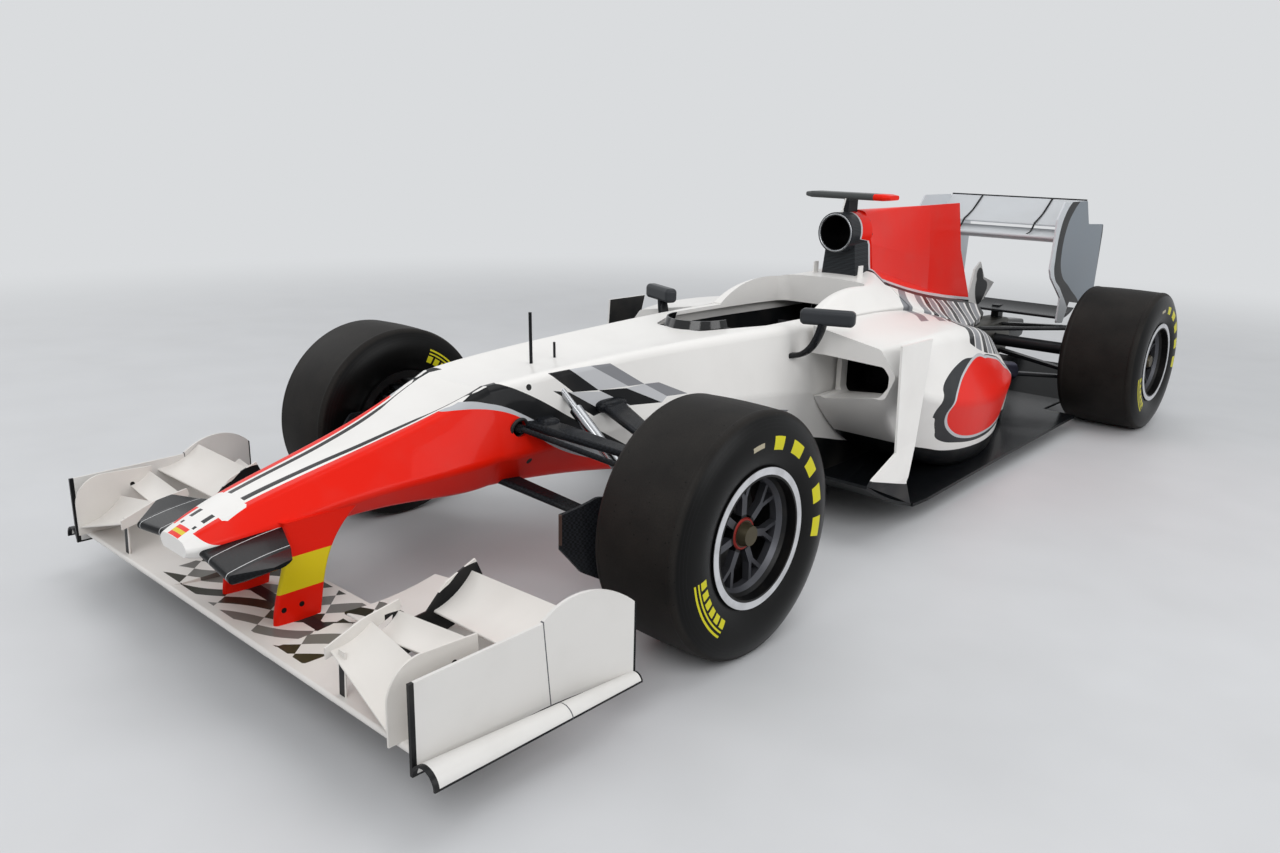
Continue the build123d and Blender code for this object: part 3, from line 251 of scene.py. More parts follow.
# The nose's white band with its dark stripes, the red flanks and what lies over them
BAND_EDGE = [(-1.06, 0.046), (-0.96, 0.050), (-0.80, 0.058), (-0.715, 0.064), (-0.62, 0.072), (-0.533, 0.084),
             (-0.459, 0.097), (-0.392, 0.110), (-0.34, 0.125), (-0.30, 0.0)]
STRIPE_MIDDLE = [(-0.96, 0.030), (-0.79, 0.038), (-0.705, 0.044), (-0.617, 0.055), (-0.526, 0.068), (-0.462, 0.081),
                 (-0.335, 0.112), (-0.231, 0.125)]
STRIPE_HALF_WIDTH = [(-0.96, 0.0095), (-0.60, 0.0095), (-0.46, 0.007), (-0.40, 0.0026), (-0.23, 0.0014)]
BARE_BADGE = [(-0.985, -0.010), (-0.930, -0.010), (-0.921, 0.060), (-0.927, 0.070), (-0.976, 0.074), (-0.986, 0.066)]
RED_TOP = [(-0.53, 0.70), (-0.50, 0.62), (-0.471, 0.590), (-0.414, 0.583), (-0.357, 0.584), (-0.299, 0.580),
           (-0.25, 0.570), (-0.198, 0.551), (-0.167, 0.532), (-0.12, 0.475), (-0.075, 0.441), (0.178, 0.333),
           (0.30, 0.290)]
OUTLINE_TOP = [(-0.40, 0.583), (-0.333, 0.602), (-0.266, 0.590), (-0.221, 0.575), (-0.171, 0.549), (-0.09, 0.50),
               (0.02, 0.445), (0.18, 0.362), (0.33, 0.290)]
WEDGE_TOP = [(-0.335, 0.602), (-0.29, 0.621), (-0.228, 0.636), (-0.204, 0.629), (-0.159, 0.608), (-0.094, 0.572),
             (0.01, 0.506), (0.126, 0.443), (0.33, 0.330)]
# Line below which the lower tub is painted near black: black carbon by the floor, and painted shade under the car
LOWER_BLACK_AND_SHADE = [(0.2, 0.20), (0.6, 0.24), (1.058, 0.258), (1.211, 0.226), (1.288, 0.207), (1.426, 0.170), (1.6, 0.13)]
CHECK_BLACK = [[(-0.057, 0.644), (0.021, 0.581), (0.120, 0.572), (0.020, 0.646)],
               [(0.120, 0.572), (0.241, 0.508), (0.374, 0.497), (0.231, 0.562)],
               [(-0.052, 0.595), (0.090, 0.500), (0.132, 0.507), (0.006, 0.583)]]
CHECK_MID = [[(0.101, 0.646), (0.240, 0.567), (0.307, 0.564), (0.176, 0.644)],
             [(0.307, 0.564), (0.398, 0.513), (0.488, 0.509), (0.368, 0.561)]]
CHECK_PALE = [[(0.020, 0.646), (0.120, 0.572), (0.240, 0.567), (0.101, 0.646)],
              [(0.231, 0.562), (0.374, 0.497), (0.398, 0.513), (0.307, 0.564)],
              [(0.006, 0.583), (0.132, 0.507), (0.241, 0.508), (0.120, 0.572), (0.021, 0.581)]]
SIDE_WEDGE = [(0.78, 0.345), (0.976, 0.352), (1.012, 0.369), (0.87, 0.397), (0.78, 0.40)]


def nose_livery(tree, place):
    """White over all, then red flanks, grey outline, black wedge, checkers, stripes along the top, the tip's bars,
    two holes painted dark as their shade, the lower tub painted near black as black carbon with painted shade
    under the car, and the dark inside of the cockpit."""
    out, station, height = place[OUT:]
    flank = where(tree, outside(beneath(tree, station, out, BAND_EDGE)))
    ahead = where(tree, (station, -FAR, 0.34))
    red = where(tree, beneath(tree, station, height, RED_TOP), flank, ahead)
    outline = where(tree, beneath(tree, station, height, OUTLINE_TOP), (station, -0.41, 0.34), flank)
    wedge = where(tree, beneath(tree, station, height, WEDGE_TOP), (station, -0.335, 0.34), (out, 0.116, FAR))
    upper = where(tree, (height, 0.36, FAR))
    badge = where(tree, patch(tree, station, out, BARE_BADGE), upper)
    middle = drawn(tree, station, STRIPE_MIDDLE)
    away = add(tree, "ShaderNodeMath", {0: out, 1: middle}, operation="SUBTRACT").outputs[0]
    off = add(tree, "ShaderNodeMath", {0: away}, operation="ABSOLUTE").outputs[0]
    thin = add(tree, "ShaderNodeMath", {0: off, 1: drawn(tree, station, STRIPE_HALF_WIDTH)},
               operation="LESS_THAN").outputs[0]
    stripe = where(tree, thin, (station, -0.917, -0.232), upper)
    bars = where(tree, (station, -1.016, -0.988), (out, 0.022, 0.038), upper)
    squares = where(tree, (station, -1.040, -1.031), (out, 0.025, 0.035), upper)
    tip = beneath(tree, station, height, [(-1.062, 0.50), (-1.045, 0.392), (-0.98, 0.368), (-0.86, 0.350),
                                          (-0.84, 0.20)])
    bands = [where(tree, (station, start, start + 0.010), (out, LEAST, 0.026), upper)
             for start in (-1.074, -1.064, -1.054)]
    # Two holes painted near black: painted shade inside them
    holes = [within(tree, station, height, circle(middle, radius))
             for middle, radius in (((-0.134, 0.617), 0.009), ((-0.152, 0.410), 0.009))]
    checks = [(where(tree, patch(tree, station, height, corners), (out, 0.135, FAR)), hue)
              for hue, group in ((MID_GREY, CHECK_MID), (PALE_GREY, CHECK_PALE), (LIVERY_BLACK, CHECK_BLACK))
              for corners in group]
    layers = [(wedge, LIVERY_BLACK), (outline, OUTLINE_GREY), (red, SIGNAL_RED), (tip, PEARL_WHITE),
              (badge, PEARL_WHITE)]
    layers += [*checks, (patch(tree, station, height, SIDE_WEDGE), MID_GREY)]
    layers += [(stripe, STRIPE_BLACK), (bars, STRIPE_BLACK), (squares, STRIPE_BLACK)]
    layers += list(zip(bands, (SIGNAL_RED, BAND_YELLOW, SIGNAL_RED)))
    layers += [(hole, "#0C0C0D") for hole in holes]
    # The lower tub painted near black: black carbon, and painted shade under the car
    layers += [(beneath(tree, station, height, LOWER_BLACK_AND_SHADE), "#0D0E0F")]
    layers += [(where(tree, turned_inwards(tree, place), (height, 0.0, 0.615)), SATIN_BLACK),
               (where(tree, (station, 0.70, 1.93), (out, LEAST, 0.23), (height, 0.0, 0.60)), SATIN_BLACK)]
    return soiled(tree, place, layered(tree, PEARL_WHITE, layers), share=0.05), {}


# The red panel over the fin and cover, its grey outline and the dark edge outside that
COVER_FRONT = [(0.70, 1.850), (0.895, 1.846), (0.912, 1.838), (0.922, 1.770), (0.96, 1.772), (1.04, 1.790)]
COVER_LOWER = [(1.80, 0.775), (1.84, 0.763), (1.976, 0.729), (2.154, 0.692), (2.609, 0.616), (2.993, 0.562),
               (3.05, 0.555)]
COVER_REAR = [(0.50, 3.000), (0.56, 3.008), (0.60, 2.990), (0.72, 2.918), (0.80, 2.900), (1.04, 2.895)]
TAIL_PATCH = [(3.10, 0.700), (3.085, 0.640), (3.080, 0.590), (3.105, 0.530), (3.135, 0.490), (3.165, 0.520),
              (3.200, 0.560), (3.222, 0.600), (3.170, 0.640)]


def cover_panel(tree, place, by):
    """Mask of the red panel's outline moved outwards by a distance."""
    station, height = place[STATION:]
    start = beneath(tree, height, station, [(a, b - by) for a, b in COVER_FRONT], sharp=True)
    base = beneath(tree, station, height, [(a, b - by) for a, b in COVER_LOWER])
    end = beneath(tree, height, station, [(a, b + min(by, 0.012)) for a, b in COVER_REAR], sharp=True)
    return where(tree, outside(start), outside(base), end)


def zebra(tree, place):
    """Grey then black wavy stripes over the rear of the cover and pods, denser towards the tail: station and
    distance out together set the stripe, and a sine along the body bends it."""
    out, station, height = place[OUT:]
    pitch, wave, sway = 0.155, 0.20, 0.017
    slant = add(tree, "ShaderNodeMath", {0: out, 1: 0.95, 2: station}, operation="MULTIPLY_ADD").outputs[0]
    phase = add(tree, "ShaderNodeMath", {0: out, 1: 2 * pi / wave}, operation="MULTIPLY").outputs[0]
    swing = add(tree, "ShaderNodeMath", {0: phase}, operation="SINE").outputs[0]
    bent = add(tree, "ShaderNodeMath", {0: swing, 1: sway, 2: slant}, operation="MULTIPLY_ADD").outputs[0]
    turn = add(tree, "ShaderNodeMath", {0: bent, 1: pitch}, operation="FLOORED_MODULO").outputs[0]
    wide = where(tree, (slant, 2.33, FAR))
    inner = where(tree, (out, LEAST, 0.44))
    reach = add(tree, "ShaderNodeMath", {0: wide, 1: inner}, operation="MAXIMUM").outputs[0]
    low = beneath(tree, station, height, [(1.7, 0.60), (1.9, 0.515), (2.25, 0.44), (2.7, 0.33)])
    area = where(tree, (slant, 2.05, FAR), reach, outside(low))
    grey = where(tree, (turn, 0.44 * pitch, 0.86 * pitch), area)
    black = where(tree, (turn, 0.02 * pitch, 0.36 * pitch), area, (slant, 2.24, FAR))
    return [(grey, MID_GREY), (black, LIVERY_BLACK)]


def intake_throat(tree, place):
    """Mask of the inside of the round intake."""
    left, station, height = place[LEFT], place[STATION], place[HEIGHT]
    rise = add(tree, "ShaderNodeMath", {0: height, 1: INTAKE_Z}, operation="SUBTRACT").outputs[0]
    flat = add(tree, "ShaderNodeCombineXYZ", {0: left, 1: rise}).outputs[0]
    away = add(tree, "ShaderNodeVectorMath", {0: flat}, operation="LENGTH").outputs["Value"]
    return where(tree, (away, LEAST, THROAT_RADIUS), (station, 1.60, 1.88))


def cover_livery(tree, place):
    """White with the wavy stripes, the red panel over the fin, and a white tail fin with one wavy black patch."""
    out, station, height = place[OUT:]
    tail = where(tree, (out, LEAST, 0.008), (station, 2.96, FAR), (height, 0.50, FAR))
    blot = where(tree, tail, within(tree, station, height, TAIL_PATCH))
    # The intake throat is painted near black: black carbon with painted shade
    layers = zebra(tree, place) + [(tail, "#C9C8C6"), (blot, LIVERY_BLACK),
                                   (cover_panel(tree, place, 0.028), "#1C1D20"),
                                   (cover_panel(tree, place, 0.013), PALE_GREY),
                                   (cover_panel(tree, place, 0.0), SIGNAL_RED),
                                   (intake_throat(tree, place), DUCT_BLACK_AND_SHADE)]
    return soiled(tree, place, layered(tree, PEARL_WHITE, layers), share=0.05), {}


def roll_livery(tree, place):
    """Black carbon with the front of the red panel over its rear half, and a near black throat: black carbon with
    painted shade.
    """
    layers = [(cover_panel(tree, place, 0.012), PALE_GREY), (cover_panel(tree, place, 0.0), SIGNAL_RED),
              (intake_throat(tree, place), DUCT_BLACK_AND_SHADE)]
    return layered(tree, weave(tree, place, dark="#232527", light="#303336"), layers), {}


POD_PANEL = [(1.529, 0.414), (1.481, 0.353), (1.546, 0.275), (1.653, 0.226), (2.017, 0.195), (2.35, 0.205),
             (2.50, 0.27), (2.43, 0.345), (2.244, 0.409), (1.949, 0.478), (1.738, 0.497), (1.629, 0.470)]
POD_SHADE = [(1.479, 0.486), (1.415, 0.426), (1.394, 0.366), (1.448, 0.291), (1.514, 0.229), (1.678, 0.190),
             (2.018, 0.170), (2.36, 0.184), (2.52, 0.265), (2.44, 0.36), (2.25, 0.424), (1.952, 0.492),
             (1.752, 0.512), (1.586, 0.513)]
POD_BLACK = [(1.10, 0.27), (1.327, 0.239), (1.374, 0.225), (1.459, 0.203), (1.615, 0.168), (1.808, 0.151),
             (2.2, 0.135), (2.6, 0.12)]


def pod_livery(tree, place):
    """White with the wavy stripes on top, the outlined red panel on the side, black along the floor, and near black in
    the cooling duct, where black carbon takes painted shade."""
    out, station, height = place[OUT:]
    side = where(tree, (out, 0.38, FAR))
    below = beneath(tree, out, height, [(0.30, 0.390), (0.57, 0.444), (0.602, 0.484)])
    lip = beneath(tree, out, station, [(0.30, 1.350), (0.60, 1.205)])
    # The duct inside is painted near black: black carbon with painted shade deep in the duct
    duct = where(tree, (height, 0.386, 0.5665), (out, 0.300, 0.6025), (station, 1.13, 1.60), outside(below),
                 outside(lip))
    layers = zebra(tree, place)
    layers += [(where(tree, within(tree, station, height, loop, 3.0), side), hue) for loop, hue in (
        (POD_SHADE, "#26282B"), (grown(POD_PANEL, 0.011), PALE_GREY), (POD_PANEL, SIGNAL_RED))]
    layers += [(beneath(tree, station, height, POD_BLACK), "#131416"), (duct, DUCT_BLACK_AND_SHADE)]
    return soiled(tree, place, layered(tree, PEARL_WHITE, layers), share=0.05), {}


TOW_PITCH = 0.006


def weave(tree, place, dark=LIVERY_BLACK, light="#202226"):
    """Twill of carbon tows. Real tows are 2 mm wide; they are drawn at three times that so that they can show."""
    turned = add(tree, "ShaderNodeMapping", {0: place[SPOT], 2: (0.2, 0.3, radians(45))}).outputs[0]
    return add(tree, "ShaderNodeTexChecker", {
        0: turned, 1: linear(dark), 2: linear(light), 3: 1 / TOW_PITCH}).outputs[0]


def carbon(tree, place):
    """Clear-coated carbon."""
    return soiled(tree, place, weave(tree, place), share=0.06), {}


def wing_livery(tree, place):
    """White wing with two tones of long wavy checks set aslant over its middle, and its underside painted near black as
    shade.
    """
    left, out, station, height = place[LEFT:]
    run = add(tree, "ShaderNodeMath", {0: left, 1: 1.1, 2: station}, operation="MULTIPLY_ADD").outputs[0]
    slant = add(tree, "ShaderNodeMath", {0: left, 1: -0.72, 2: station}, operation="MULTIPLY_ADD").outputs[0]
    phase = add(tree, "ShaderNodeMath", {0: run, 1: 2 * pi / 0.42}, operation="MULTIPLY").outputs[0]
    swing = add(tree, "ShaderNodeMath", {0: phase}, operation="SINE").outputs[0]
    bent = add(tree, "ShaderNodeMath", {0: swing, 1: 0.012, 2: slant}, operation="MULTIPLY_ADD").outputs[0]
    long = add(tree, "ShaderNodeMath", {0: run, 1: 0.27}, operation="MULTIPLY").outputs[0]
    grid = add(tree, "ShaderNodeCombineXYZ", {0: long, 1: bent}).outputs[0]
    cells = add(tree, "ShaderNodeTexChecker", {0: grid, 3: 1 / 0.056}).outputs[1]
    tone = add(tree, "ShaderNodeTexChecker", {0: grid, 1: linear("#2C2B22"), 2: linear("#6D6C69"),
                                              3: 1 / 0.112}).outputs[0]
    checks = where(tree, cells, (out, LEAST, 0.36), (station, -0.968, -0.70))
    # The underside is painted near black: painted shade under the wing
    layers = [(checks, tone), (where(tree, (height, LEAST, 0.1415)), "#1A1B1D")]
    return soiled(tree, place, layered(tree, "#DAD7D3", layers), share=0.08), {}


def endplate_livery(tree, place):
    """Pale plate with black front and rear edges, a black foot and the slanting seam where the plate curls."""
    station, height = place[STATION:]
    lean = add(tree, "ShaderNodeMath", {0: height, 1: 0.10, 2: station}, operation="MULTIPLY_ADD").outputs[0]
    layers = [(where(tree, (station, -FAR, -1.004)), SATIN_BLACK), (where(tree, (station, -0.449, FAR)), SATIN_BLACK),
              (where(tree, (height, LEAST, 0.119)), SATIN_BLACK), (where(tree, (lean, -0.6505, -0.6475)), "#55565A")]
    return soiled(tree, place, layered(tree, "#D6D4D1", layers), share=0.08), {}


def cascade_livery(tree, place):
    """White blades and outer plates, with a black inner fence that has a white upper edge, and a black strut."""
    out, station, height = place[OUT:]
    fence = where(tree, (out, 0.509, 0.5155), (station, -0.855, FAR))
    edge = beneath(tree, station, height, [(-0.84, 0.288), (-0.74, 0.286), (-0.69, 0.302), (-0.61, 0.336),
                                           (-0.585, 0.330)])
    strut = where(tree, (out, 0.53, 0.55), (height, LEAST, 0.235))
    # A small hole on the outer plate, painted near black: painted shade inside it
    hole = where(tree, (out, 0.764, FAR), within(tree, station, height, circle((-0.865, 0.275), 0.007)))
    layers = [(where(tree, fence, edge), LIVERY_BLACK), (strut, LIVERY_BLACK), (hole, "#101012")]
    return soiled(tree, place, layered(tree, "#D9D5D0", layers), share=0.10), {}


def pylon_livery(tree, place):
    """Red with a yellow band, and two small screw holes by the wing, painted dark as the shade inside them."""
    station, height = place[STATION:]
    # The screw holes are painted dark: painted shade inside them
    holes = [within(tree, station, height, circle(middle, 0.007)) for middle in ((-0.887, 0.180), (-0.840, 0.182))]
    layers = [(where(tree, (height, 0.221, 0.309)), BAND_YELLOW), *[(hole, "#151515") for hole in holes]]
    return layered(tree, SIGNAL_RED, layers), {}


def pod_black(tree, place):
    """Black nose pods with thin pale lines along the chord."""
    lines = [where(tree, (place[OUT], middle - 0.0012, middle + 0.0012)) for middle in (0.128, 0.222)]
    return layered(tree, weave(tree, place, dark="#0D0E0F", light="#15171A"), [(line, "#C8C8C8") for line in lines]), {}


def polar(tree, place, axle):
    """Radius from a wheel's axle and the angle round it, from the rear upwards."""
    station, height = place[STATION:]
    back = add(tree, "ShaderNodeMath", {0: station, 1: axle}, operation="SUBTRACT").outputs[0]
    rise = add(tree, "ShaderNodeMath", {0: height, 1: TYRE_RADIUS}, operation="SUBTRACT").outputs[0]
    flat = add(tree, "ShaderNodeCombineXYZ", {0: back, 1: rise}).outputs[0]
    radius = add(tree, "ShaderNodeVectorMath", {0: flat}, operation="LENGTH").outputs["Value"]
    turn = add(tree, "ShaderNodeMath", {0: rise, 1: back}, operation="ARCTAN2").outputs[0]
    return radius, turn


# Yellow marks on the tyres: middle angle, half angle, inner and outer radius. Single blocks are on the outer wall,
# and a panel of two bars over six blocks is on both
BLOCK_MARKS = [(1.36, 0.085, 0.231, 0.266), (1.00, 0.105, 0.231, 0.266), (0.63, 0.10, 0.231, 0.266),
               (0.26, 0.10, 0.231, 0.266), (-0.12, 0.11, 0.231, 0.266)]
PANEL_MARKS = [(-2.60, 0.37, 0.263, 0.269), (-2.60, 0.37, 0.251, 0.256)]
PANEL_MARKS += [(middle, 0.045, 0.222, 0.245) for middle in (-2.92, -2.79, -2.66, -2.53, -2.40, -2.27)]
INNER_WALL_TURN = 3.4


def rubber(end):
    """Colour of a tyre: worn grey-brown tread, darker glossy walls, and yellow marks, of which the inner wall has one
    group."""
    axle, outer, inner = AXLES[end]

    def build(tree, place):
        spot, out = place[SPOT], place[OUT]
        radius, turn = polar(tree, place, axle)
        tread = add(tree, "ShaderNodeMapRange", {0: radius, 1: 0.312, 2: 0.320}).outputs[0]
        grain = add(tree, "ShaderNodeTexNoise", {0: spot, 2: 300.0, 3: 5.0, 4: 0.7}).outputs[0]
        patchy = add(tree, "ShaderNodeTexNoise", {0: spot, 2: 9.0, 3: 3.0}).outputs[0]
        mix = add(tree, "ShaderNodeMath", {0: grain, 1: patchy}, operation="MULTIPLY").outputs[0]
        worn = add(tree, "ShaderNodeMix", {0: mix, 6: linear("#0B0A0A"), 7: linear("#37332F")},
                   data_type="RGBA").outputs[2]
        specks = add(tree, "ShaderNodeTexVoronoi", {0: spot, 2: 45.0}).outputs[0]
        rings = add(tree, "ShaderNodeMath", {0: radius, 1: 0.009}, operation="FLOORED_MODULO").outputs[0]
        groove = where(tree, (rings, 0.0, 0.0016), (radius, 0.287, 0.312))
        outer_wall = where(tree, (out, outer - 0.03, FAR))
        marks = [where(tree, (turn, middle - half, middle + half), (radius, low, high), outer_wall)
                 for middle, half, low, high in BLOCK_MARKS + PANEL_MARKS]
        inner_wall = where(tree, (out, LEAST, inner + 0.03))
        marks += [where(tree, (turn, middle - half + INNER_WALL_TURN, middle + half + INNER_WALL_TURN),
                        (radius, low, high), inner_wall) for middle, half, low, high in PANEL_MARKS]
        small = where(tree, (turn, 1.62, 1.80), (radius, 0.243, 0.256), outer_wall)
        layers = [(groove, HUB_BLACK), (tread, layered(tree, worn, [(where(tree, (specks, LEAST, 0.10)), "#080808")])),
                  (small, "#A8A08A"), *[(mark, "#C9C222") for mark in marks]]
        sheen = add(tree, "ShaderNodeMapRange", {0: tread, 3: 0.33, 4: 0.58}).outputs[0]
        return layered(tree, "#070707", layers), {"Roughness": sheen}

    return build


def wheel_metal(end):
    """Forged magnesium wheel: grey spokes, a barrel painted near black as the shade inside the deep dish, a pale face
    ring, a black hub with a red collar, and a bronze nut."""
    axle, outer = AXLES[end][:2]

    def build(tree, place):
        out = place[OUT]
        radius = polar(tree, place, axle)[0]
        ring = where(tree, (radius, 0.166, 0.190), (out, outer - 0.0015, FAR))
        outboard = where(tree, (out, outer - 0.056, FAR))
        # The barrel inside the rim is painted near black: painted shade inside the deep dish
        barrel = where(tree, (radius, 0.153, 0.190))
        layers = [(barrel, "#141415"), (ring, "#D2D3D6"),
                  (where(tree, (radius, 0.0345, 0.050), (out, outer - 0.09, FAR)), HUB_BLACK),
                  (where(tree, (radius, 0.036, 0.043), outboard), "#8E1F16"),
                  (where(tree, (radius, LEAST, 0.0345), outboard), "#4B4432"),
                  (where(tree, (out, LEAST, 0.52)), "#2A2B2E")]
        return soiled(tree, place, layered(tree, "#4E4F54", layers), dust="#3A352F", share=0.25, grain=20), {}

    return build


def floor_colour(tree, place):
    """Black glossy floor, with the brown laminate of the plank under it."""
    plank = where(tree, (place[HEIGHT], LEAST, 0.0615))
    return layered(tree, weave(tree, place, dark="#0E0F10", light="#15171A"), [(plank, "#6B4A2E")]), {}


def mirror_colour(tree, place):
    """Dark cases with silvered glass at the back, found by the toed normal, and black stalks."""
    left, height = place[LEFT], place[HEIGHT]
    across, rear = add(tree, "ShaderNodeSeparateXYZ", {
        0: add(tree, "ShaderNodeNewGeometry").outputs["Normal"]}).outputs[:2]
    side = add(tree, "ShaderNodeMath", {0: left}, operation="SIGN").outputs[0]
    outward = add(tree, "ShaderNodeMath", {0: across, 1: side}, operation="MULTIPLY").outputs[0]
    part = add(tree, "ShaderNodeMath", {0: rear, 1: cos(MIRROR_TOE)}, operation="MULTIPLY").outputs[0]
    facing = add(tree, "ShaderNodeMath", {0: outward, 1: -sin(MIRROR_TOE), 2: part},
                 operation="MULTIPLY_ADD").outputs[0]
    glass = where(tree, (facing, 0.985, 2.0), (height, 0.692, 0.732))
    shine = add(tree, "ShaderNodeMapRange", {0: glass, 3: 0.30, 4: 0.03}).outputs[0]
    stalk = where(tree, (height, LEAST, 0.684))
    return layered(tree, "#3A3C3F", [(glass, "#C9CED2"), (stalk, SATIN_BLACK)]), {"Metallic": glass, "Roughness": shine}


def bar_colour(tree, place):
    """Dark grey bar with a red tip on the car's left and a black foot."""
    layers = [(where(tree, (place[LEFT], 0.128, 1)), "#E4210E"),
              (where(tree, (place[HEIGHT], LEAST, 1.074)), "#202123")]
    return layered(tree, "#4B4D4D", layers), {}


def knuckle_colour(tree, place):
    """Machined upright with a black carbon brake duct whose front edge is a brown mesh."""
    station, height = place[STATION:]
    duct = where(tree, (station, -FAR, -0.11))
    lip = where(tree, (station, -FAR, -0.325), (height, 0.295, FAR))
    metal = where(tree, outside(duct))
    colour = layered(tree, "#77797C", [(duct, weave(tree, place)), (lip, "#4A3A34")])
    return colour, {"Metallic": metal}


def aerial_colour(tree, place):
    """Black mast and steel sensor; the two small fins are painted white."""
    fins = where(tree, (place[OUT], 0.09, FAR))
    return layered(tree, "#2A2B2D", [(fins, PEARL_WHITE)]), {"Metallic": where(tree, outside(fins))}


# Where the rear endplate's black band and its grey panel begin, as (height, station)
PLATE_BLACK = [(0.44, 3.45), (0.53, 3.36), (0.62, 3.25), (0.72, 3.135), (0.80, 3.13), (0.93, 3.155), (1.00, 3.20),
               (1.05, 3.27)]
PLATE_PANEL = [(0.44, 3.62), (0.53, 3.53), (0.62, 3.37), (0.72, 3.225), (0.80, 3.205), (0.93, 3.235), (1.00, 3.295),
               (1.05, 3.37)]


def rear_plate_livery(tree, place):
    """Pale endplate with a curved black band behind its front edge and a grey panel behind that, on its outer face."""
    out, station, height = place[OUT:]
    outer_face = where(tree, (out, 0.3745, FAR))
    black = where(tree, outside(beneath(tree, height, station, PLATE_BLACK)), outer_face)
    panel = where(tree, outside(beneath(tree, height, station, PLATE_PANEL)), outer_face, (station, -FAR, 3.741))
    layers = [(black, LIVERY_BLACK), (panel, "#7C848C")]
    return soiled(tree, place, layered(tree, "#C9CDD1", layers), share=0.06), {}


def heat_tint(tree, place):
    """Nickel alloy exhaust, straw and blue from heat towards the outlet."""
    spot, station = place[SPOT], place[STATION]
    share = add(tree, "ShaderNodeMapRange", {0: station, 1: 2.56, 2: 2.86}).outputs[0]
    noise = add(tree, "ShaderNodeTexNoise", {0: spot, 2: 30.0}).outputs[0]
    heat = add(tree, "ShaderNodeMath", {0: noise, 1: 0.4, 2: share}, operation="MULTIPLY_ADD").outputs[0]
    ramp = add(tree, "ShaderNodeValToRGB", {0: heat})
    ramp.color_ramp.elements[0].color = linear("#8E8578")
    ramp.color_ramp.elements[1].color = linear("#5B5B6E")
    middle = ramp.color_ramp.elements.new(0.6)
    middle.color = linear("#8C6A45")
    return ramp.outputs[0], {}


BOARD_EDGE = [(0.86, 0.240), (0.896, 0.226), (1.123, 0.166), (1.20, 0.160)]


def board_livery(tree, place):
    """Board white outside and black inside, with a black foot below a slanting line."""
    foot = beneath(tree, place[STATION], place[HEIGHT], BOARD_EDGE, sharp=True)
    dark = add(tree, "ShaderNodeMath", {0: foot, 1: turned_inwards(tree, place)}, operation="MAXIMUM").outputs[0]
    return soiled(tree, place, layered(tree, PEARL_WHITE, [(dark, SATIN_BLACK)]), share=0.08), {}


# Sprayed two-pack paint: strong even colour under a soft gloss
PAINT_ROUGHNESS = 0.32
FINISHES = {name: finish(name, PAINT_ROUGHNESS, build, **CLEAR_COAT) for name, build in (
    ("nose_paint", nose_livery), ("cover_paint", cover_livery), ("roll_paint", roll_livery),
    ("sidepod_paint", pod_livery), ("wing_paint", wing_livery), ("cascade_paint", cascade_livery),
    ("endplate_paint", endplate_livery), ("pylon_paint", pylon_livery), ("white_paint", plain(PEARL_WHITE)),
    ("board_paint", board_livery), ("rear_plate_paint", rear_plate_livery), ("silver_paint", plain("#C6C9CC")),
    ("lamp_red", plain("#B3140C")))}

# Columns: name, roughness, colour and the settings that differ
SLICK = {"depth": 0.0006, "grain": 500, "Specular IOR Level": 0.14}
FINISHES |= {name: finish(name, rough, build, **settings) for name, rough, build, settings in (
    # Woven carbon under lacquer: black and glossy, its twill barely showing
    ("clear_coated_carbon", 0.25, carbon, BLACK_GLOSS),
    ("nose_pod_carbon", 0.25, pod_black, BLACK_GLOSS),
    ("floor_carbon", 0.25, floor_colour, BLACK_GLOSS),
    # Moulded slick rubber: soft dark tread that scatters, smoother glossy walls
    ("front_slick_rubber", 0.6, rubber("front"), SLICK),
    ("rear_slick_rubber", 0.6, rubber("rear"), SLICK),
    # Soft moulded rubber of boots and buttons
    ("matt_rubber", 0.7, plain("#171718"), {}),
    # Forged magnesium, satin and slightly grained
    ("front_forged_magnesium", 0.40, wheel_metal("front"), {"Metallic": 0.6}),
    ("rear_forged_magnesium", 0.40, wheel_metal("rear"), {"Metallic": 0.6}),
    # Carbon brake discs: matt and nearly black
    ("brake_carbon", 0.75, plain("#1D1D1E", share=0.2), {"grain": 300}),
    # Polished steel rods, thin and bright
    ("polished_steel", 0.20, plain("#A9ABAE", share=0.15), {"Metallic": 1.0}),
    # Machined steel, duller and darker than the polished rods
    ("machined_steel", 0.32, plain("#7F8286", share=0.15), {"Metallic": 1.0}),
    # Sand-cast magnesium of engine and gearbox: dull, grainy and dusty
    ("cast_magnesium", 0.5, plain("#5E5C57", share=0.3), {"Metallic": 0.8, "depth": 0.0008, "grain": 400}),
    # Formed nickel alloy sheet: satin metal, tinted by heat
    ("nickel_alloy", 0.35, heat_tint, {"Metallic": 1.0}),
    # Lacquered mouldings of the mirrors and the camera bar: dark with a soft shine
    ("moulded_mirror", 0.32, mirror_colour, BLACK_GLOSS),
    ("bar_paint", 0.35, bar_colour, BLACK_GLOSS),
    # Machined metal: grey and satin, beside a black duct or white fins
    ("upright_metal", 0.35, knuckle_colour, BLACK_GLOSS),
    ("aerial_metal", 0.30, aerial_colour, {}),
    # Smoked polycarbonate, thin and glossy
    ("smoked_polycarbonate", 0.08, plain(SATIN_BLACK, share=0.03),
     {"Transmission Weight": 0.45, "IOR": 1.58, "Specular IOR Level": 0.3}),
    # Brushed suede: matt and nearly black, with a fine nap
    ("suede_grip", 0.85, plain("#1B1B1D", share=0.1), {"depth": 0.0008, "grain": 700}),
    # Woven carbon without lacquer, satin
    ("seat_shell", 0.5, carbon, {}))}

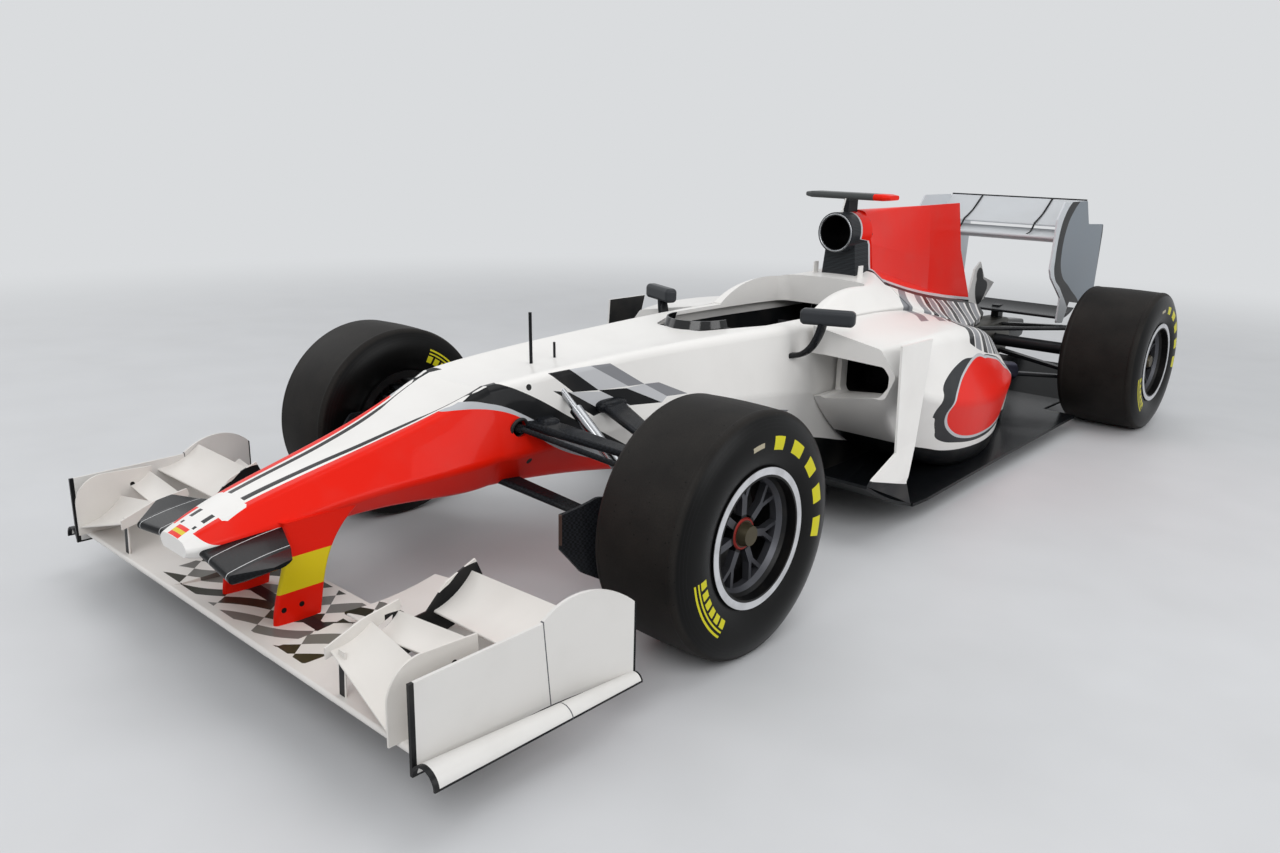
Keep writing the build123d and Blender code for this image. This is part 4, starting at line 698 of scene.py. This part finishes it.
NODE_FINISH = {
    "monocoque": "nose_paint", "nose_cone": "nose_paint", "nose_pylons": "pylon_paint", "nose_pods": "nose_pod_carbon",
    "front_wing_main": "wing_paint", "front_wing_flaps": "wing_paint", "front_wing_cascades": "cascade_paint",
    "front_wing_endplates": "endplate_paint", "cockpit_surround": "cover_paint", "seat": "seat_shell",
    "windscreen": "smoked_polycarbonate", "mirrors": "moulded_mirror", "roll_structure": "roll_paint",
    "camera_bar": "bar_paint", "engine_cover": "cover_paint", "sidepod_left": "sidepod_paint",
    "sidepod_right": "sidepod_paint", "turning_boards": "board_paint", "floor": "floor_carbon",
    "diffuser": "floor_carbon", "engine": "cast_magnesium", "gearbox": "cast_magnesium",
    "rear_crash_box": "clear_coated_carbon", "exhausts": "nickel_alloy", "rear_wing_planes": "silver_paint",
    "rear_wing_endplates": "rear_plate_paint", "beam_wing": "clear_coated_carbon", "aerials": "aerial_metal",
    "front_wishbones": "clear_coated_carbon", "front_pushrods": "polished_steel",
    "rear_wishbones": "clear_coated_carbon", "rear_uprights": "machined_steel",
    "steering_housing": "clear_coated_carbon", "steering_rack": "clear_coated_carbon",
    "steering_wheel": "suede_grip", "front_upright_left": "upright_metal", "front_upright_right": "upright_metal",
    "front_wheel_left": "front_forged_magnesium", "front_wheel_right": "front_forged_magnesium",
    "rear_wheel_left": "rear_forged_magnesium", "rear_wheel_right": "rear_forged_magnesium",
    "front_tyre_left": "front_slick_rubber", "front_tyre_right": "front_slick_rubber",
    "rear_tyre_left": "rear_slick_rubber", "rear_tyre_right": "rear_slick_rubber",
}
for name, node in NODES.items():
    node.data.materials.clear()
    node.data.materials.append(FINISHES[NODE_FINISH[name]])


def surface(name, grid, material, body, round_rows=False):
    """Piece of a grid of points whose columns close on themselves: quads join neighbours in both directions, round
    rows also join the last row to the first, and rows of one point become tips."""
    rows, columns = grid.shape[:2]
    index = np.arange(rows * columns).reshape(rows, columns)
    index = np.hstack([index, index[:, :1]])
    index = np.vstack([index, index[:1]]) if round_rows else index
    quads = np.stack([index[:-1, :-1], index[1:, :-1], index[1:, 1:], index[:-1, 1:]], -1).reshape(-1, 4)
    mesh = bpy.data.meshes.new(name)
    mesh.from_pydata((grid.reshape(-1, 3) + (0, FRONT_AXLE_Y, 0)).tolist(), [], quads.tolist())
    shape = bmesh.new()
    shape.from_mesh(mesh)
    bmesh.ops.remove_doubles(shape, verts=shape.verts, dist=1e-6)
    bmesh.ops.recalc_face_normals(shape, faces=shape.faces)
    shape.to_mesh(mesh)
    shape.free()
    mesh.polygons.foreach_set("use_smooth", np.ones(len(mesh.polygons), bool))
    mesh.set_sharp_from_angle(angle=radians(40))
    mesh.materials.append(FINISHES[material])
    piece = bpy.data.objects.new(name, mesh)
    bpy.context.scene.collection.objects.link(piece)
    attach(piece, body)


# Points round a swept rod and round the section of a ring, and rows and points round a rounded block
ROD_COLUMNS = 12
TUBE_POINTS = 10
BLOCK_ROWS, BLOCK_COLUMNS = 13, 24


def swept(name, path, width, thickness, material, body, across=(1, 0, 0), square=0.6):
    """Strip or rod along a path: at every path point a rounded oblong, width along the across vector and thickness
    square to it and to the path, its corners a cosine and sine raised to a power. Both ends close in a tip."""
    path = np.array(path, float)
    along = np.gradient(path, axis=0)
    along /= np.linalg.norm(along, axis=1, keepdims=True)
    side = np.array(across) - (along @ np.array(across))[:, None] * along
    side /= np.linalg.norm(side, axis=1, keepdims=True)
    rise = np.cross(along, side)
    turn = np.linspace(0, 2 * pi, ROD_COLUMNS, endpoint=False)
    flat = np.sign(np.cos(turn)) * np.abs(np.cos(turn)) ** square * width / 2
    tall = np.sign(np.sin(turn)) * np.abs(np.sin(turn)) ** square * thickness / 2
    grid = path[:, None] + side[:, None] * flat[:, None] + rise[:, None] * tall[:, None]
    ends = np.broadcast_to(path[[0, -1], None], (2, ROD_COLUMNS, 3))
    surface(name, np.concatenate([ends[:1], grid, ends[1:]]), material, body)


def turned(name, middle, axis, profile, material, body, closed=True, steps=48):
    """Body of revolution: (radius, along) points of a profile go round the axis through the middle. A closed profile
    joins its last point to its first, an open one starts and ends on the axis."""
    axis = np.array(axis, float) / np.linalg.norm(axis)
    first = np.cross(axis, (0, 0, 1) if abs(axis[2]) < 0.9 else (0, 1, 0))
    first /= np.linalg.norm(first)
    second = np.cross(axis, first)
    turn = np.linspace(0, 2 * pi, steps, endpoint=False)[:, None]
    around = np.cos(turn) * first + np.sin(turn) * second
    radius, along = np.array(profile, float).T
    grid = np.array(middle) + along[:, None, None] * axis + radius[:, None, None] * around
    surface(name, grid, material, body, closed)


def tube(radius, thickness):
    """Round section of a ring, as (radius, along) points."""
    turn = np.linspace(0, 2 * pi, TUBE_POINTS, endpoint=False)
    return np.stack([radius + thickness * np.cos(turn), thickness * np.sin(turn)], 1)


def oblong(name, middle, half, material, body, square=0.35):
    """Rounded block: an ellipsoid whose sines and cosines are raised to a power."""
    rise = np.linspace(-pi / 2, pi / 2, BLOCK_ROWS)[:, None]
    turn = np.linspace(0, 2 * pi, BLOCK_COLUMNS, endpoint=False)
    level, height = np.abs(np.cos(rise)) ** square, np.sign(np.sin(rise)) * np.abs(np.sin(rise)) ** square
    left = level * np.sign(np.cos(turn)) * np.abs(np.cos(turn)) ** square * half[0]
    back = level * np.sign(np.sin(turn)) * np.abs(np.sin(turn)) ** square * half[1]
    up = height * half[2] + 0 * turn
    surface(name, np.stack([left, back, up], -1) + np.array(middle), material, body)


# Trim. Every point is (left, station, height)
SIDES = {"left": 1, "right": -1}
turned("intake_lip", (0, INTAKE_STATION, INTAKE_Z), (0, 1, 0), tube(INTAKE_LIP_RADIUS, 0.0035), "polished_steel",
       "chassis")
STEERING_FACE = 0.9560
BUTTON_PROFILE = [(0, -0.004), (0.0075, -0.004), (0.0075, 0.003), (0.006, 0.0045), (0, 0.0045)]
oblong("wheel_screen", (0, STEERING_FACE, 0.566), (0.046, 0.0045, 0.019), "smoked_polycarbonate", "steering_wheel")
for number, (left, height, material) in enumerate((
        (-0.075, 0.573, "lamp_red"), (-0.075, 0.547, "silver_paint"), (-0.099, 0.560, "matt_rubber"),
        (0.075, 0.573, "silver_paint"), (0.075, 0.547, "lamp_red"), (0.099, 0.560, "matt_rubber"))):
    turned(f"wheel_button_{number}", (left, STEERING_FACE, height), (0, 1, 0), BUTTON_PROFILE, material,
           "steering_wheel", closed=False, steps=20)
turned("tail_lamp_ring", (0, 3.7005, 0.300), (0, 1, 0), tube(0.022, 0.0045), "lamp_red", "chassis")
swept("flap_edge_strip", [(a, 3.4865, 1.0525) for a in (-0.366, -0.18, 0.0, 0.18, 0.366)], 0.008, 0.003,
      "clear_coated_carbon", "chassis", across=(0, 0, 1))
swept("roll_rod", [(0, 1.732, 1.026), (0, 1.744, 1.0535), (0, 1.756, 1.081)], 0.007, 0.007, "white_paint", "chassis",
      square=1.0)
STRAP = [(3.486, 1.0530), (3.434, 1.0160), (3.381, 0.9785), (3.334, 0.9560), (3.287, 0.9365), (3.262, 0.9080),
         (3.240, 0.8920), (3.200, 0.8850)]
# Columns: place, station, height and half length of the fairings at the front wishbones' roots
WISHBONE_ROOTS = [("front", -0.098, 0.511, 0.036), ("rear", 0.160, 0.523, 0.060)]
DISC_BORE, DISC_RADIUS, DISC_HALF = 0.060, 0.138, 0.014
DISC_PROFILE = [(DISC_BORE, -DISC_HALF), (DISC_RADIUS, -DISC_HALF), (DISC_RADIUS, DISC_HALF), (DISC_BORE, DISC_HALF)]
# A mirror stalk is a curve that leaves its foot towards the knee and comes to its top from there
STALK_FOOT, STALK_KNEE, STALK_TOP = (0.268, 1.026, 0.566), (0.352, 1.036, 0.570), (0.371, 1.053, 0.690)
reach = np.linspace(0, 1, 13)[:, None]
for side, sign in SIDES.items():
    stalk = ((1 - reach) ** 2 * STALK_FOOT + 2 * reach * (1 - reach) * STALK_KNEE
             + reach ** 2 * STALK_TOP) * (sign, 1, 1)
    swept(f"mirror_stalk_sleeve_{side}", stalk, 0.046, 0.020, "clear_coated_carbon", "chassis", across=(0, 1, 0))
    swept(f"wing_strap_{side}", [(0.19 * sign, *point) for point in STRAP], 0.010, 0.003, "clear_coated_carbon",
          "chassis")
    for place, station, height, half_length in WISHBONE_ROOTS:
        oblong(f"wishbone_root_{place}_{side}", (0.205 * sign, station, height), (0.035, half_length, 0.020),
               "clear_coated_carbon", "chassis", square=0.7)
    turned(f"rack_boot_{side}", (0.190 * sign, -0.185, 0.511), (sign, 0, -0.23), tube(0.0275, 0.005), "matt_rubber",
           "chassis")
    turned(f"front_brake_disc_{side}", (0.749 * sign, 0, TYRE_RADIUS), (1, 0, 0), DISC_PROFILE, "brake_carbon",
           f"front_{side}_wheel")

# Camera at the photograph's viewpoint
AZIMUTH, PITCH, ROLL = 0.7332, 0.2704, 0.0232
EYE = (2.2607, -1.9842 + FRONT_AXLE_Y, 1.2792)
LENS = 28.68
look = Vector((-sin(AZIMUTH) * cos(PITCH), cos(AZIMUTH) * cos(PITCH), -sin(PITCH)))
right = look.cross(Vector((0, 0, 1))).normalized()
above = right.cross(look)
right, above = cos(ROLL) * right + sin(ROLL) * above, cos(ROLL) * above - sin(ROLL) * right
camera = bpy.data.objects.new("camera", bpy.data.cameras.new("camera"))
camera.data.lens = LENS
camera.matrix_world = Matrix((
    (right.x, above.x, -look.x, EYE[0]), (right.y, above.y, -look.y, EYE[1]), (right.z, above.z, -look.z, EYE[2]),
    (0, 0, 0, 1)))
bpy.context.scene.collection.objects.link(camera)
bpy.context.scene.camera = camera


def seen(tree):
    """One for rays from the camera, a reflection or a clear material, nought for rays that only carry light."""
    path = add(tree, "ShaderNodeLightPath").outputs
    clear = add(tree, "ShaderNodeMath", {0: path["Is Camera Ray"], 1: path["Is Transmission Ray"]},
                operation="MAXIMUM").outputs[0]
    return add(tree, "ShaderNodeMath", {0: clear, 1: path["Is Glossy Ray"]}, operation="MAXIMUM").outputs[0]


# Pale floor that keeps the shadow and runs into the pale surround some way from the car, and soft lamps
FLOOR_HALF = 30.0
FADE_START, FADE_END = 3.2, 8.5
floor_mesh = bpy.data.meshes.new("studio_floor")
floor_mesh.from_pydata([(x * FLOOR_HALF, y * FLOOR_HALF, 0) for x, y in ((-1, -1), (1, -1), (1, 1), (-1, 1))], [],
                       [(0, 1, 2, 3)])
studio_floor = bpy.data.objects.new("studio_floor", floor_mesh)
bpy.context.scene.collection.objects.link(studio_floor)
concrete = finish("polished_concrete", 0.5, plain("#CDCED0", share=0.04, grain=2))
ground = concrete.node_tree
away = add(ground, "ShaderNodeVectorMath", {0: add(ground, "ShaderNodeTexCoord").outputs["Object"]},
           operation="LENGTH").outputs["Value"]
fade = add(ground, "ShaderNodeMapRange", {0: away, 1: FADE_START, 2: FADE_END},
           interpolation_type="SMOOTHSTEP").outputs[0]
share = add(ground, "ShaderNodeMath", {0: fade, 1: seen(ground)}, operation="MULTIPLY").outputs[0]
glow = add(ground, "ShaderNodeEmission", {0: linear(BACKDROP)}).outputs[0]
both = add(ground, "ShaderNodeMixShader", {0: share, 1: ground.nodes["Principled BSDF"].outputs[0], 2: glow}).outputs[0]
ground.links.new(both, ground.nodes["Material Output"].inputs[0])
floor_mesh.materials.append(concrete)
world = bpy.data.worlds.new("surround")
bpy.context.scene.world = world
world.use_nodes = True
sky = world.node_tree
strength = add(sky, "ShaderNodeMapRange", {0: seen(sky), 3: 0.75, 4: 1.0}).outputs[0]
sky.nodes["Background"].inputs[0].default_value = linear(BACKDROP)
sky.links.new(strength, sky.nodes["Background"].inputs[1])
for name, spot, aim, size, power in (
        ("key", (3.5, -5.5, 5.0), (0, -0.5, 0.4), 4.0, 195),
        ("fill", (-5.0, -2.0, 4.0), (0, 0, 0.4), 4.0, 70),
        ("side", (6.5, 1.0, 2.8), (0, 0.6, 0.6), 3.5, 105),
        ("top", (0.5, 1.0, 6.0), (0, 0, 0), 5.0, 105)):
    lamp = bpy.data.objects.new(name, bpy.data.lights.new(name, "AREA"))
    lamp.data.size = size
    lamp.data.energy = power
    lamp.location = spot
    lamp.rotation_euler = (Vector(aim) - Vector(spot)).to_track_quat("-Z", "Y").to_euler()
    bpy.context.scene.collection.objects.link(lamp)
bpy.context.scene.view_settings.view_transform = "Standard"
